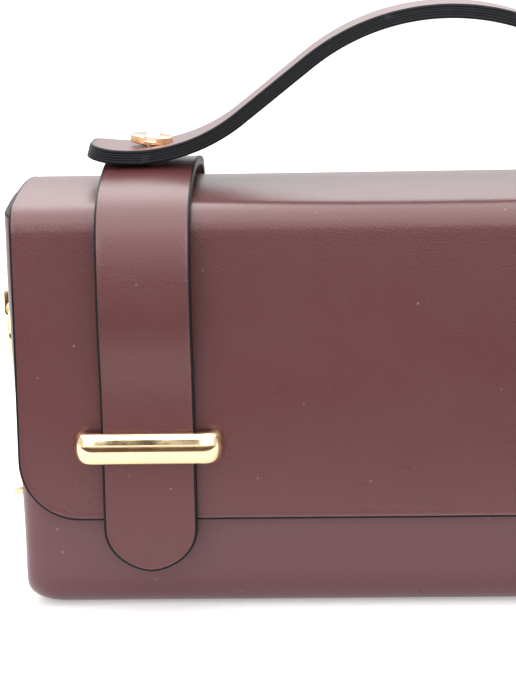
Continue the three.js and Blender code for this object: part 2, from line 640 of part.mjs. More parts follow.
function makeLug(name, side) {
  const half = LUG_LENGTH / 2;
  const sag = RING_RADIUS - Math.sqrt(RING_RADIUS * RING_RADIUS - half * half);
  const hole = RING_WIRE_RADIUS + sag + RING_HOLE_CLEARANCE;
  const [left, right] = [-LUG_THICKNESS / 2, LUG_THICKNESS / 2];
  const corner = LUG_CORNER;
  const outline = new THREE.Shape();
  outline.moveTo(left, lugBottom);
  outline.absarc(right - corner, lugBottom + corner, corner, -Math.PI / 2, 0);
  outline.absarc(right - corner, lugTop - corner, corner, 0, Math.PI / 2);
  outline.lineTo(left, lugTop);
  const washerFace = left - (lugSeat() - sideHalfWidth(lugPinHeight) + BODY_WALL + GAP);
  const washerBack = washerFace - WASHER_THICKNESS;
  let lug = prismAlongY(outline, -half, half);
  lug = lug.subtract(rodAlongY(hole, -LUG_LENGTH, LUG_LENGTH, 0, ringPivotHeight));
  lug = lug.add(rodAlongX(LUG_PIN_RADIUS, washerBack, left + LUG_CORNER / 2, 0, lugPinHeight));
  lug = lug.add(rodAlongX(LUG_WASHER_RADIUS, washerBack, washerFace, 0, lugPinHeight));
  const mesh = piece(name, geometryOf(lug), gold);
  if (side < 0) mesh.rotation.z = Math.PI;
  mesh.position.x = side * ringPlace();
  return mesh;
}

function makeSideStud(name, side, end) {
  const wall = sideHalfWidth(SIDE_STUD_HEIGHT);
  const seat = sideHalfWidth(SIDE_STUD_HEIGHT + SIDE_STUD_RADIUS) + GAP;
  const tip = wall + SIDE_STUD_PROUD;
  const washerFace = sideHalfWidth(SIDE_STUD_HEIGHT - SIDE_STUD_WASHER_RADIUS) - BODY_WALL - GAP;
  const points = [
    [0, washerFace - WASHER_THICKNESS],
    [SIDE_STUD_WASHER_RADIUS, washerFace - WASHER_THICKNESS],
    [SIDE_STUD_WASHER_RADIUS, washerFace],
    [SIDE_STUD_SHANK_RADIUS, washerFace],
    [SIDE_STUD_SHANK_RADIUS, seat],
    [SIDE_STUD_RADIUS, seat],
    [SIDE_STUD_RADIUS, tip - SIDE_STUD_CHAMFER],
    [SIDE_STUD_RADIUS - SIDE_STUD_CHAMFER, tip],
    [0, tip],
  ].map(([radius, along]) => new THREE.Vector2(radius, along));
  const stud = solidOf(new THREE.LatheGeometry(points, PIN_SEGMENTS));
  const mesh = piece(name, geometryOf(stud), gold);
  mesh.rotation.z = (-side * Math.PI) / 2;
  mesh.position.set(0, end * sideStudPlace, SIDE_STUD_HEIGHT);
  return mesh;
}

const bag = new THREE.Group();
bag.add(makeBody(), makeFlap(), makeHandle());
for (const [word, side] of [["left", -1], ["right", 1]]) {
  bag.add(makeStrap(`strap_${word}`, side));
  bag.add(makeKeeper(`keeper_${word}`, side));
  bag.add(makeHandleStud(`handle_stud_${word}`, side));
  bag.add(makeLug(`ring_lug_${word}`, side));
  bag.add(makeRing(`side_ring_${word}`, side));
  for (const [place, end] of [["front", -1], ["back", 1]]) {
    bag.add(makeSideStud(`side_stud_${place}_${word}`, side, end));
  }
}

export default bag;
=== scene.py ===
# Looks for the leather flap bag: leather, painted edges, gold fittings, floor, light and camera.
# Sizes are in millimetres until a mesh is made, +Z up, front towards -Y.
import math
import bpy
import bmesh
import numpy as np
from mathutils import Matrix, Vector, noise
from mathutils.geometry import delaunay_2d_cdt


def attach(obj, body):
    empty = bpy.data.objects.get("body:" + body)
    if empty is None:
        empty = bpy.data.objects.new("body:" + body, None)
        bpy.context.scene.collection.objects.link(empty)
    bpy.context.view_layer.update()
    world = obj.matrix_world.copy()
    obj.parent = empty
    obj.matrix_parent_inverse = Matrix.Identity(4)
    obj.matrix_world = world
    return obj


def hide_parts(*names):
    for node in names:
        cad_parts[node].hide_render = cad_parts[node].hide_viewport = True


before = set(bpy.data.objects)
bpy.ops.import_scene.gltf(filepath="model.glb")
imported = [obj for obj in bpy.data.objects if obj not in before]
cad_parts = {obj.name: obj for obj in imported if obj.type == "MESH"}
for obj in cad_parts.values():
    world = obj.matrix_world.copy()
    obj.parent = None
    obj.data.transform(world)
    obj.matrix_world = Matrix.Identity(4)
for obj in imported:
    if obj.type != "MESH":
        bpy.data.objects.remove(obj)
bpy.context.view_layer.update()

MM = 0.001
GAP = 0.3  # between two pieces that touch on the real bag, as in the source
HOLE_CLEARANCE = 0.3  # between a shank and its hole, on the radius, as in the source

# Body, as in the source
BODY_WIDTH = 270
BODY_FLARE = 2.5
BODY_DEPTH = 74.2
BODY_WALL = 2.4
UPRIGHT_EDGE_RADIUS = 8
BASE_FRONT_RADIUS = 12
BASE_SIDE_RADIUS = 7.5
SIDE_HEIGHT_SHARES = (0, 0.2, 0.45, 0.63, 0.8, 1)
SIDE_FLARE_SHARES = (0, 0.04, 0.45, 0.76, 1, 1)

# Flap, as in the source
FLAP_TOP = 131.6
FLAP_CROWN_RADIUS = 185
FLAP_THICKNESS = 2.6
FLAP_EDGE_RADIUS = 7.5
FLAP_FRONT_END = 30
FLAP_BACK_END = 78
FLAP_FRONT_CORNER = 19
FLAP_BACK_CORNER = 12

# Straps, as in the source
STRAP_INSET = 40.9
STRAP_WIDTH = 29
STRAP_THICKNESS = 2.8
STRAP_LIFT = 1.3
STRAP_BACK_EDGE_RADIUS = 12
STRAP_BEND_START = 20
STRAP_BOW = 3.7
STRAP_LAY_DROP = 67.6
STRAP_LAY_PULL = 14
STRAP_BACK_INSET = 14
TAB_OVERHANG = 15.8
TAB_ROUND_HEIGHT = 13.7
TAB_SIDE_FULLNESS = 0.6
TAB_TIP_FULLNESS = 0.45
TAB_POINT = 0.03

# Straps, where they stand higher under the handle and bow out lower than in the source
STRAP_RISE = 2
STRAP_FRONT_CROWN_RADIUS = 92
STRAP_BEND_PULL = 22
STRAP_BOW_DROP = 33
STRAP_BOW_PULL = 30.5

# Handle, as in the source
HANDLE_WIDTH = 30
HANDLE_THICKNESS = 4.4
HANDLE_RISE = 43.8
HANDLE_CROWN_RADIUS = 70.7
HANDLE_FOOT_RADIUS = 55
HANDLE_FOOT_OFFSET = 5.2
HANDLE_FOOT_LIFT = 2.3
HANDLE_HEEL = 19.5
HANDLE_END_CORNER = 10

# Keepers, as in the source
KEEPER_HEIGHT = 9.9
KEEPER_THICKNESS = 3.8
KEEPER_EDGE_THICKNESS = 1.5
KEEPER_BEND_RADIUS = 4.2
KEEPER_ABOVE_EDGE = 24.2
KEEPER_SIDE_CLEARANCE = 4.9
KEEPER_STRAP_CLEARANCE = 0.5
KEEPER_PIN_RADIUS = 1.25
KEEPER_PIN_LENGTH = 1.9

# Handle studs, as in the source
STUD_HEAD_RADIUS = 6.7
STUD_HEAD_HEIGHT = 2.7
STUD_HEAD_CHAMFER = 0.5
STUD_SHANK_RADIUS = 2.5
STUD_COLLAR_RADIUS = 3.6
STUD_NUT_RADIUS = 5.5
STUD_NUT_HEIGHT = 1.6
STUD_SLOT_WIDTH = 4
STUD_SLOT_DEPTH = 1.6

# Rings, lugs and small studs on the sides, as in the source
RING_RADIUS = 7.9
RING_WIRE_RADIUS = 1.2
RING_HOLE_CLEARANCE = 0.25
RING_HOLE_RISE = 2.7
LUG_BELOW_RIM = 31.7
LUG_LENGTH = 5
LUG_HEIGHT = 9
LUG_THICKNESS = 5.4
LUG_CORNER = 1.4
LUG_PIN_RADIUS = 1.5
LUG_PIN_DROP = 2.3
LUG_WASHER_RADIUS = 4
WASHER_THICKNESS = 1.2
SIDE_STUD_HEIGHT = 36.7
SIDE_STUD_INSET = 12.5
SIDE_STUD_RADIUS = 2.2
SIDE_STUD_PROUD = 3.3
SIDE_STUD_SHANK_RADIUS = 1
SIDE_STUD_WASHER_RADIUS = 2.6

# Details that are finer than the source's solids
EDGE_ROUNDING = 0.55  # of the flap and the straps
EDGE_COVER = 0.75  # how far the paint reaches over their faces
HANDLE_EDGE_ROUNDING = 0.5
HANDLE_EDGE_COVER = 0.7
HANDLE_GROOVES = (-1.1, -0.35, 0.45, 1.1)  # heights of the lines between the handle's layers
PAINT_BEAD = 0.05  # how far the paint stands proud
PAINT_WANDER = 0.09  # how far its border strays
RIM_ROUNDING = 0.7
RIM_EASE = 18  # height below the rim in which the body's rings start to follow its crown
BODY_WAVE = 0.12
STUD_SEAT_GAP = 0.05  # between the head and the handle's foot
STUD_SLOT_EASE = 0.16
LUG_EASE = 0.35
STITCH_INSET = 3.2
STITCH_DROP = 22  # from the flap's top down to the ends of the row
STITCH_PITCH = 3.6
STITCH_SHARE = 0.76  # of the pitch that one stitch takes up
STITCH_RADIUS = 0.36
STITCH_SINK = 0.18  # how deep its ends lie in the leather
STITCH_BOW = 0.32

# Sizes that follow from the ones above
strap_centre = BODY_WIDTH / 2 - STRAP_INSET
stud_hole_radius = STUD_SHANK_RADIUS + HOLE_CLEARANCE
flap_half_depth = BODY_DEPTH / 2 + GAP + FLAP_THICKNESS
rim_height = FLAP_TOP - FLAP_THICKNESS - GAP  # at the middle of its crown
rim_bend = FLAP_EDGE_RADIUS - FLAP_THICKNESS - GAP
rim_crown = FLAP_CROWN_RADIUS - FLAP_THICKNESS - GAP
strap_half_depth = flap_half_depth + GAP + STRAP_THICKNESS
strap_top = FLAP_TOP + STRAP_LIFT + STRAP_THICKNESS
strap_front_end = FLAP_FRONT_END - TAB_OVERHANG
strap_back_end = FLAP_BACK_END + STRAP_BACK_INSET
foot_height = strap_top + HANDLE_FOOT_LIFT + HANDLE_THICKNESS / 2
crown_height = foot_height + HANDLE_RISE
handle_half_length = strap_centre + HANDLE_HEEL
keeper_middle = FLAP_FRONT_END + KEEPER_ABOVE_EDGE
keeper_leg_offset = STRAP_WIDTH / 2 + KEEPER_SIDE_CLEARANCE + KEEPER_THICKNESS / 2
lug_top = rim_height - LUG_BELOW_RIM
lug_bottom = lug_top - LUG_HEIGHT
lug_pin_height = lug_top - LUG_PIN_DROP
ring_pivot_height = lug_bottom + RING_HOLE_RISE
side_stud_place = BODY_DEPTH / 2 - SIDE_STUD_INSET

# Camera, fitted to the perspective of the bag in the photograph
CAMERA_PLACE = (-36.84, -687.41, 219.13)
CAMERA_YAW = 2.038
CAMERA_PITCH = 11.646
CAMERA_ROLL = -1.08
CAMERA_LENS = 113.35
CAMERA_SENSOR = 36


def make_camera():
    yaw, pitch, roll = (math.radians(a) for a in (CAMERA_YAW, CAMERA_PITCH, CAMERA_ROLL))
    ahead = Vector((-math.sin(yaw) * math.cos(pitch), math.cos(yaw) * math.cos(pitch), -math.sin(pitch)))
    level = Vector((math.cos(yaw), math.sin(yaw), 0))
    upright = level.cross(ahead)
    right = level * math.cos(roll) + upright * math.sin(roll)
    top = upright * math.cos(roll) - level * math.sin(roll)
    data = bpy.data.cameras.new("camera")
    data.lens = CAMERA_LENS
    data.sensor_width = CAMERA_SENSOR
    data.clip_start = 0.01
    data.clip_end = 20
    camera = bpy.data.objects.new("camera", data)
    bpy.context.scene.collection.objects.link(camera)
    turn = Matrix((right, top, -ahead)).transposed()
    camera.matrix_world = Matrix.Translation(Vector(CAMERA_PLACE) * MM) @ turn.to_4x4()
    bpy.context.scene.camera = camera


# Materials

class Look:
    """A node material that is built up one node at a time."""

    def __init__(self, name, colour, roughness, metallic=0.0, specular=0.5):
        self.material = bpy.data.materials.new(name)
        self.material.use_nodes = True
        self.nodes = self.material.node_tree.nodes
        self.links = self.material.node_tree.links
        self.shader = self.nodes["Principled BSDF"]
        self.shader.inputs["Base Color"].default_value = (*colour, 1)
        self.shader.inputs["Roughness"].default_value = roughness
        self.shader.inputs["Metallic"].default_value = metallic
        self.shader.inputs["Specular IOR Level"].default_value = specular
        self.place = self.nodes.new("ShaderNodeTexCoord").outputs["Object"]

    def node(self, kind, settings=None, **inputs):
        made = self.nodes.new(kind)
        for key, value in (settings or {}).items():
            setattr(made, key, value)
        for key, value in inputs.items():
            socket = made.inputs[key.replace("_", " ")]
            if isinstance(value, bpy.types.NodeSocket):
                self.links.new(value, socket)
            else:
                socket.default_value = value
        return made

    def noise(self, scale, detail=2.0, roughness=0.5, vector=None):
        made = self.node("ShaderNodeTexNoise", Vector=vector or self.place,
                         Scale=scale, Detail=detail, Roughness=roughness)
        return made.outputs["Fac"]

    def stretched(self, x, y, z):
        return self.node("ShaderNodeMapping", Vector=self.place, Scale=(x, y, z)).outputs["Vector"]

    def cells(self, scale):
        return self.node("ShaderNodeTexVoronoi", Vector=self.place, Scale=scale).outputs["Distance"]

    def spread(self, value, low, high, to_low=0.0, to_high=1.0):
        made = self.node("ShaderNodeMapRange", Value=value,
                         From_Min=low, From_Max=high, To_Min=to_low, To_Max=to_high)
        return made.outputs["Result"]

    def mixed(self, share, first, second):
        made = self.nodes.new("ShaderNodeMix")
        made.data_type = "RGBA"
        for socket, value in ((made.inputs[6], first), (made.inputs[7], second)):
            if isinstance(value, bpy.types.NodeSocket):
                self.links.new(value, socket)
            else:
                socket.default_value = (*value, 1)
        self.links.new(share, made.inputs[0])
        return made.outputs[2]

    def bump(self, height, distance, strength, below=None):
        made = self.node("ShaderNodeBump", Height=height, Strength=strength, Distance=distance)
        if below is not None:
            self.links.new(below, made.inputs["Normal"])
        return made.outputs["Normal"]

    def set(self, name, socket):
        self.links.new(socket, self.shader.inputs[name])


LEATHER_COLOUR = (0.104, 0.0300, 0.0322)
# The body's leather is a lighter, bluer copy of the flap's leather: painted light that stands in for the
# floor's light on the lower front
BODY_LEATHER_FLOOR_LIT_COLOUR = (0.110, 0.0375, 0.0450)
DUST_COLOUR = (0.200, 0.105, 0.105)
PAINT_COLOUR = (0.0055, 0.006, 0.0075)
PAINT_WORN = (0.022, 0.023, 0.028)
SUEDE_DARK = (0.085, 0.036, 0.040)
SUEDE_LIGHT = (0.13, 0.058, 0.064)
GOLD_COLOUR = (0.93, 0.70, 0.43)
# The handle studs' gold is a darker, warmer copy of the gold: painted shade that dims the heads' reflection
# of the bright overhead light
STUD_GOLD_SHADED_COLOUR = (0.80, 0.47, 0.26)
THREAD_DARK = (0.085, 0.030, 0.036)
THREAD_LIGHT = (0.15, 0.060, 0.068)


def leather_look(name, colour):
    look = Look(name, colour, 0.29, specular=0.42)
    clouds = look.noise(22, 2, 0.5)
    deep = tuple(c * 0.94 for c in colour)
    base = look.mixed(look.spread(clouds, 0.3, 0.7), deep, colour)
    pores = look.cells(1500)
    fine = look.noise(2600, 2, 0.6)
    dust = look.spread(look.cells(95), 0.045, 0.03)
    base = look.mixed(look.spread(pores, 0.1, 0.7), base, colour)
    look.set("Base Color", look.mixed(dust, base, DUST_COLOUR))
    look.set("Roughness", look.spread(look.noise(60, 4, 0.6), 0.3, 0.7, 0.27, 0.31))
    soft = look.bump(look.noise(130, 2, 0.5), 0.00004, 0.4)
    grain = look.bump(pores, 0.00005, 0.7, soft)
    look.set("Normal", look.bump(fine, 0.00002, 0.5, grain))
    return look.material


def suede_look(name):
    look = Look(name, (0.105, 0.045, 0.050), 0.9, specular=0.2)
    look.shader.inputs["Sheen Weight"].default_value = 0.35
    look.shader.inputs["Sheen Roughness"].default_value = 0.5
    fibre = look.noise(1400, 4, 0.7)
    look.set("Base Color", look.mixed(look.spread(fibre, 0.3, 0.7), SUEDE_DARK, SUEDE_LIGHT))
    look.set("Normal", look.bump(fibre, 0.00012, 0.8))
    return look.material


def paint_look(name):
    look = Look(name, PAINT_COLOUR, 0.46, specular=0.12)
    rubbed = look.spread(look.noise(240, 4, 0.65), 0.62, 0.74)
    look.set("Base Color", look.mixed(rubbed, PAINT_COLOUR, PAINT_WORN))
    look.set("Roughness", look.spread(look.noise(300, 3, 0.5), 0.3, 0.7, 0.40, 0.54))
    look.set("Normal", look.bump(look.noise(420, 3, 0.55), 0.00009, 0.6))
    return look.material


def gold_look(name, colour, roughness):
    look = Look(name, colour, roughness, 1.0)
    smear = look.noise(180, 3, 0.55)
    look.set("Roughness", look.spread(smear, 0.3, 0.75, roughness - 0.025, roughness + 0.05))
    tarnish = look.spread(look.noise(70, 4, 0.6), 0.35, 0.75)
    look.set("Base Color", look.mixed(tarnish, colour, tuple(c * 0.93 for c in colour)))
    hairlines = look.noise(900, 2, 0.5, look.stretched(0.12, 1.0, 1.0))
    look.set("Normal", look.bump(hairlines, 0.000008, 0.35))
    return look.material


def thread_look(name):
    look = Look(name, (0.120, 0.045, 0.052), 0.62)
    bands = {"wave_type": "BANDS", "bands_direction": "DIAGONAL"}
    band = look.node("ShaderNodeTexWave", bands, Vector=look.place, Scale=900).outputs["Fac"]
    look.set("Base Color", look.mixed(band, THREAD_DARK, THREAD_LIGHT))
    look.set("Normal", look.bump(band, 0.00008, 0.6))
    return look.material


leather = leather_look("burgundy leather", LEATHER_COLOUR)
# The body gets the lighter copy of the leather: painted floor light
floor_lit_body_leather = leather_look("body leather with painted floor light", BODY_LEATHER_FLOOR_LIT_COLOUR)
suede = suede_look("leather back")
paint = paint_look("edge paint")
gold = gold_look("polished gold", GOLD_COLOUR, 0.10)
# The studs get the darker copy of the gold: painted shade
shaded_stud_gold = gold_look("gold darkened as painted shade", STUD_GOLD_SHADED_COLOUR, 0.14)
thread = thread_look("burgundy thread")


# Mesh helpers

def make_object(name, points, faces, materials, slots=None, smooth=True):
    mesh = bpy.data.meshes.new(name)
    scaled = np.asarray(points, float) * MM
    mesh.from_pydata(scaled.tolist(), [], [list(map(int, f)) for f in faces])
    for material in materials:
        mesh.materials.append(material)
    if slots is not None:
        mesh.polygons.foreach_set("material_index", np.asarray(slots, np.int32))
    mesh.polygons.foreach_set("use_smooth", np.full(len(mesh.polygons), smooth))
    mesh.update()
    made = bpy.data.objects.new(name, mesh)
    bpy.context.scene.collection.objects.link(made)
    return made


def settle(made):
    """Applies the modifiers, so that only the final mesh is left."""
    graph = bpy.context.evaluated_depsgraph_get()
    final = bpy.data.meshes.new_from_object(made.evaluated_get(graph))
    made.modifiers.clear()
    made.data = final


def sharpen(made, angle):
    """Smooth shading, apart from edges that turn by more than the angle in degrees."""
    mesh = made.data
    mesh.polygons.foreach_set("use_smooth", np.full(len(mesh.polygons), True))
    mesh.set_sharp_from_angle(angle=math.radians(angle))


def place(made, body, node):
    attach(made, body)
    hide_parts(node)


def wobble(points, size, seed):
    """A smooth value from about -1 to 1 at each point, with bumps of that size."""
    shift = Vector((seed * 17.3, seed * 5.1, seed * 9.7))
    return np.array([noise.noise(Vector(p) / size + shift) for p in points])


def swept(rings, closed=False):
    """Points and faces of a skin over rings of as many points each."""
    count = len(rings[0])
    points = np.concatenate(rings)
    faces = []
    for row in range(len(rings) if closed else len(rings) - 1):
        follow = (row + 1) % len(rings)
        for i in range(count):
            j = (i + 1) % count
            faces.append((row * count + i, row * count + j, follow * count + j, follow * count + i))
    if not closed:
        last = (len(rings) - 1) * count
        faces.append(tuple(range(count))[::-1])
        faces.append(tuple(range(last, last + count)))
    return points, faces


# Lines that a sheet is wrapped over

def path_of(parts, step=0.25):
    """Lengths, places and outward normals along straight and round parts that meet smoothly."""
    places = []
    normals = []
    for kind, *facts in parts:
        if kind == "line":
            start, end, normal = (np.array(f, float) for f in facts)
            count = max(2, int(np.linalg.norm(end - start) / step))
            share = np.linspace(0, 1, count)[:, None]
            places.append(start + (end - start) * share)
            normals.append(np.tile(normal / np.linalg.norm(normal), (count, 1)))
        elif kind == "curve":
            outer, depth = facts
            ahead = np.gradient(np.array(outer), axis=0)
            ahead /= np.linalg.norm(ahead, axis=1)[:, None]
            normal = np.stack([-ahead[:, 1], ahead[:, 0]], 1)
            places.append(np.array(outer) - normal * depth)
            normals.append(normal)
        else:
            centre, radius, start, end, outward = facts
            count = max(2, int(abs(end - start) * radius / step))
            angle = np.linspace(start, end, count)
            ray = np.stack([np.cos(angle), np.sin(angle)], 1)
            places.append(np.array(centre) + radius * ray)
            normals.append(outward * ray)
    places = np.concatenate(places)
    normals = np.concatenate(normals)
    lengths = np.concatenate([[0], np.cumsum(np.linalg.norm(np.diff(places, axis=0), axis=1))])
    kept = np.concatenate([[True], np.diff(lengths) > 1e-9])
    return lengths[kept], places[kept], normals[kept]


def on_path(path, along):
    lengths, places, normals = path
    spot = np.stack([np.interp(along, lengths, places[:, i]) for i in (0, 1)], 1)
    normal = np.stack([np.interp(along, lengths, normals[:, i]) for i in (0, 1)], 1)
    past = along - np.clip(along, lengths[0], lengths[-1])
    tangent = np.stack([normal[:, 1], -normal[:, 0]], 1)
    return spot + tangent * past[:, None], normal / np.linalg.norm(normal, axis=1)[:, None]


def top_arcs(half_depth, top, crown, bend):
    """The places of a crowned top's arcs: the middle and height of the bends, the crown, and their angles."""
    middle = half_depth - bend
    lean = math.asin(middle / (crown - bend))
    crown_middle = top - crown
    bend_height = crown_middle + (crown - bend) * math.cos(lean)
    return middle, bend_height, crown_middle, math.pi / 2 - lean, math.pi / 2 + lean


def flap_path():
    """The middle line of the flap in Y and Z, from its front edge to its back edge."""
    half_thick = FLAP_THICKNESS / 2
    half = flap_half_depth - half_thick
    crown, bend = FLAP_CROWN_RADIUS - half_thick, FLAP_EDGE_RADIUS - half_thick
    middle, height, crown_middle, back, front = top_arcs(half, FLAP_TOP - half_thick, crown, bend)
    return path_of([
        ("line", (-half, FLAP_FRONT_END), (-half, height), (-1, 0)),
        ("arc", (-middle, height), bend, math.pi, front, 1),
        ("arc", (0, crown_middle), crown, front, back, 1),
        ("arc", (middle, height), bend, back, 0, 1),
        ("line", (half, height), (half, FLAP_BACK_END), (1, 0)),
    ])


def strap_path():
    """The middle line of a strap in Y and Z: it bows out over the flap's edge and lies down below it."""
    half_thick = STRAP_THICKNESS / 2
    crown, top = STRAP_FRONT_CROWN_RADIUS, strap_top + STRAP_RISE
    along = math.asin(STRAP_BEND_START / crown)
    start = np.array((-STRAP_BEND_START, top - crown + crown * math.cos(along)))
    bow, lay = -strap_half_depth - STRAP_BOW, -strap_half_depth
    bow_height, lay_height = FLAP_TOP - STRAP_BOW_DROP, FLAP_TOP - STRAP_LAY_DROP
    over = start - STRAP_BEND_PULL * np.array((math.cos(along), math.sin(along)))
    upper = bezier(start, over, (bow, bow_height + STRAP_BOW_PULL), (bow, bow_height), 160)
    lower = bezier((bow, bow_height), (bow, bow_height - STRAP_LAY_PULL),
                   (lay, lay_height + STRAP_LAY_PULL), (lay, lay_height), 120)
    half = strap_half_depth - half_thick
    back_crown = FLAP_CROWN_RADIUS + STRAP_LIFT + half_thick
    bend = STRAP_BACK_EDGE_RADIUS - half_thick
    middle, height, crown_middle, back, _ = top_arcs(half, top - half_thick, back_crown, bend)
    return path_of([
        ("line", (-half, strap_front_end), (-half, lay_height), (-1, 0)),
        ("curve", lower[::-1], half_thick),
        ("curve", upper[::-1], half_thick),
        ("arc", (0, top - crown), crown - half_thick, math.pi / 2 + along, math.pi / 2, 1),
        ("arc", (0, crown_middle), back_crown, math.pi / 2, back, 1),
        ("arc", (middle, height), bend, back, 0, 1),
        ("line", (half, height), (half, strap_back_end), (1, 0)),
    ])


def handle_path():
    """The middle line of the handle in X and Z."""
    crown = np.array((0, crown_height - HANDLE_CROWN_RADIUS))
    foot = np.array((-strap_centre - HANDLE_FOOT_OFFSET, foot_height + HANDLE_FOOT_RADIUS))
    between = crown - foot
    lean = math.acos((HANDLE_CROWN_RADIUS + HANDLE_FOOT_RADIUS) / np.linalg.norm(between))
    angle = math.atan2(between[1], between[0]) - lean
    heel = -math.asin((handle_half_length + foot[0]) / HANDLE_FOOT_RADIUS) - math.pi / 2
    low = foot + HANDLE_FOOT_RADIUS * np.array((math.cos(angle), math.sin(angle)))
    high = crown - HANDLE_CROWN_RADIUS * np.array((math.cos(angle), math.sin(angle)))
    up = np.array((-math.cos(angle), -math.sin(angle)))
    mirror = np.array((-1, 1))
    return path_of([
        ("arc", foot, HANDLE_FOOT_RADIUS, heel, angle, -1),
        ("line", low, high, up),
        ("arc", crown, HANDLE_CROWN_RADIUS, angle + math.pi, -angle, 1),
        ("line", high * mirror, low * mirror, up * mirror),
        ("arc", foot * mirror, HANDLE_FOOT_RADIUS, math.pi - angle, math.pi - heel, -1),
    ])


# Outlines of sheets, laid flat: across and along, counterclockwise

def arc_points(centre, radius, start, end, count):
    angle = np.linspace(start, end, count + 1)
    return [(centre[0] + radius * math.cos(a), centre[1] + radius * math.sin(a)) for a in angle]


def corner_points(centre, radius, start, end, step=0.8):
    return arc_points(centre, radius, start, end, max(6, int(radius * abs(end - start) / step)))


def straight_points(start, end, step):
    count = max(1, round(math.dist(start, end) / step))
    share = np.linspace(0, 1, count + 1)[1:-1]
    return [tuple(np.array(start) + (np.array(end) - np.array(start)) * s) for s in share]


def joined(*runs):
    """The runs of an outline one after another, with straight points between them."""
    points = []
    for index, run in enumerate(runs):
        points += run
        follow = runs[(index + 1) % len(runs)]
        if math.dist(run[-1], follow[0]) > 3:
            points += straight_points(run[-1], follow[0], 2.0)
    kept = [p for p, q in zip(points, points[1:] + points[:1]) if math.dist(p, q) > 1e-6]
    return np.array(kept)


def plate_outline(half, start, end, start_corner, end_corner):
    pi = math.pi
    return joined(
        corner_points((start_corner - half, start + start_corner), start_corner, pi, 1.5 * pi),
        corner_points((half - start_corner, start + start_corner), start_corner, 1.5 * pi, 2 * pi),
        corner_points((half - end_corner, end - end_corner), end_corner, 0, 0.5 * pi),
        corner_points((end_corner - half, end - end_corner), end_corner, 0.5 * pi, pi),
    )


def bezier(a, b, c, d, count=28):
    t = np.linspace(0, 1, count + 1)[:, None]
    a, b, c, d = (np.array(p, float) for p in (a, b, c, d))
    curve = (1 - t) ** 3 * a + 3 * (1 - t) ** 2 * t * b + 3 * (1 - t) * t ** 2 * c + t ** 3 * d
    return [tuple(p) for p in curve]


def strap_outline(centre, length):
    half = STRAP_WIDTH / 2
    shoulder = TAB_ROUND_HEIGHT
    low = shoulder - TAB_SIDE_FULLNESS * TAB_ROUND_HEIGHT
    pull = TAB_TIP_FULLNESS * half
    rise = TAB_POINT * TAB_ROUND_HEIGHT
    left, right = centre - half, centre + half
    return joined(
        bezier((left, shoulder), (left, low), (centre - pull, rise), (centre, 0)),
        bezier((centre, 0), (centre + pull, rise), (right, low), (right, shoulder)),
        corner_points((centre, length - half), half, 0, math.pi),
    )


def inset_outline(outline, distance):
    ahead = np.roll(outline, -1, 0) - outline
    ahead /= np.linalg.norm(ahead, axis=1)[:, None]
    behind = np.roll(ahead, 1, 0)
    mean = ahead + behind
    mean /= np.linalg.norm(mean, axis=1)[:, None]
    inward = np.stack([-mean[:, 1], mean[:, 0]], 1)
    return outline + inward * np.asarray(distance).reshape(-1, 1)


def inside(points, loop):
    """Whether each point lies inside the closed loop."""
    x, y = points[:, 0], points[:, 1]
    found = np.zeros(len(points), bool)
    for (ax, ay), (bx, by) in zip(loop, np.roll(loop, -1, 0)):
        spans = (ay > y) != (by > y)
        if ay != by:
            found ^= spans & (x < (bx - ax) * (y - ay) / (by - ay) + ax)
    return found


def filled(loop, holes, step_across, step_along):
    """Points and triangles that fill a loop on an even grid, with its holes left open."""
    low, high = loop.min(0), loop.max(0)
    counts = [max(2, round((high[i] - low[i]) / s)) for i, s in ((0, step_across), (1, step_along))]
    across = np.linspace(low[0], high[0], counts[0] + 1)[1:-1]
    along = np.linspace(low[1], high[1], counts[1] + 1)[1:-1]
    grid = np.stack(np.meshgrid(across, along), -1).reshape(-1, 2)
    grid = grid[inside(grid, loop)]
    rims = np.concatenate([loop, *holes])
    near = np.array([np.min(np.sum((rims - p) ** 2, 1)) for p in grid])
    grid = grid[near > (0.55 * min(step_across, step_along)) ** 2]
    for hole in holes:
        grid = grid[~inside(grid, hole)]
    points = np.concatenate([rims, grid])
    edges = []
    start = 0
    for ring in (loop, *holes):
        count = len(ring)
        edges += [(start + i, start + (i + 1) % count) for i in range(count)]
        start += count
    made = delaunay_2d_cdt([Vector(p) for p in points], edges, [], 0, 1e-7)
    source = [own[0] for own in made[3]]
    triangles = np.array([[source[i] for i in face] for face in made[2]])
    centres = points[triangles].mean(1)
    keep = inside(centres, loop)
    for hole in holes:
        keep &= ~inside(centres, hole)
    return points, triangles[keep]


def edge_profile(thickness, rounding, cover, grooves):
    """Insets and heights around a painted edge, from the outer face to the inner one."""
    half = thickness / 2
    proud = half + PAINT_BEAD
    brim = ((cover, half), (cover - 0.10, proud), (max(rounding, cover - 0.35), proud))
    rows = list(brim)
    for angle in np.linspace(0, math.pi / 2, 7)[1:]:
        inset = rounding * (1 - math.sin(angle))
        rows.append((inset, half - rounding + rounding * math.cos(angle) + PAINT_BEAD * math.cos(angle)))
    for height in sorted(grooves, reverse=True):
        rows += [(0, height + 0.12), (0.03, height + 0.07), (0.06, height), (0.03, height - 0.07)]
        rows.append((0, height - 0.12))
    for angle in np.linspace(math.pi / 2, 0, 7)[:-1]:
        inset = rounding * (1 - math.sin(angle))
        rows.append((inset, rounding - half - rounding * math.cos(angle) - PAINT_BEAD * math.cos(angle)))
    return rows + [(inset, -height) for inset, height in reversed(brim)]


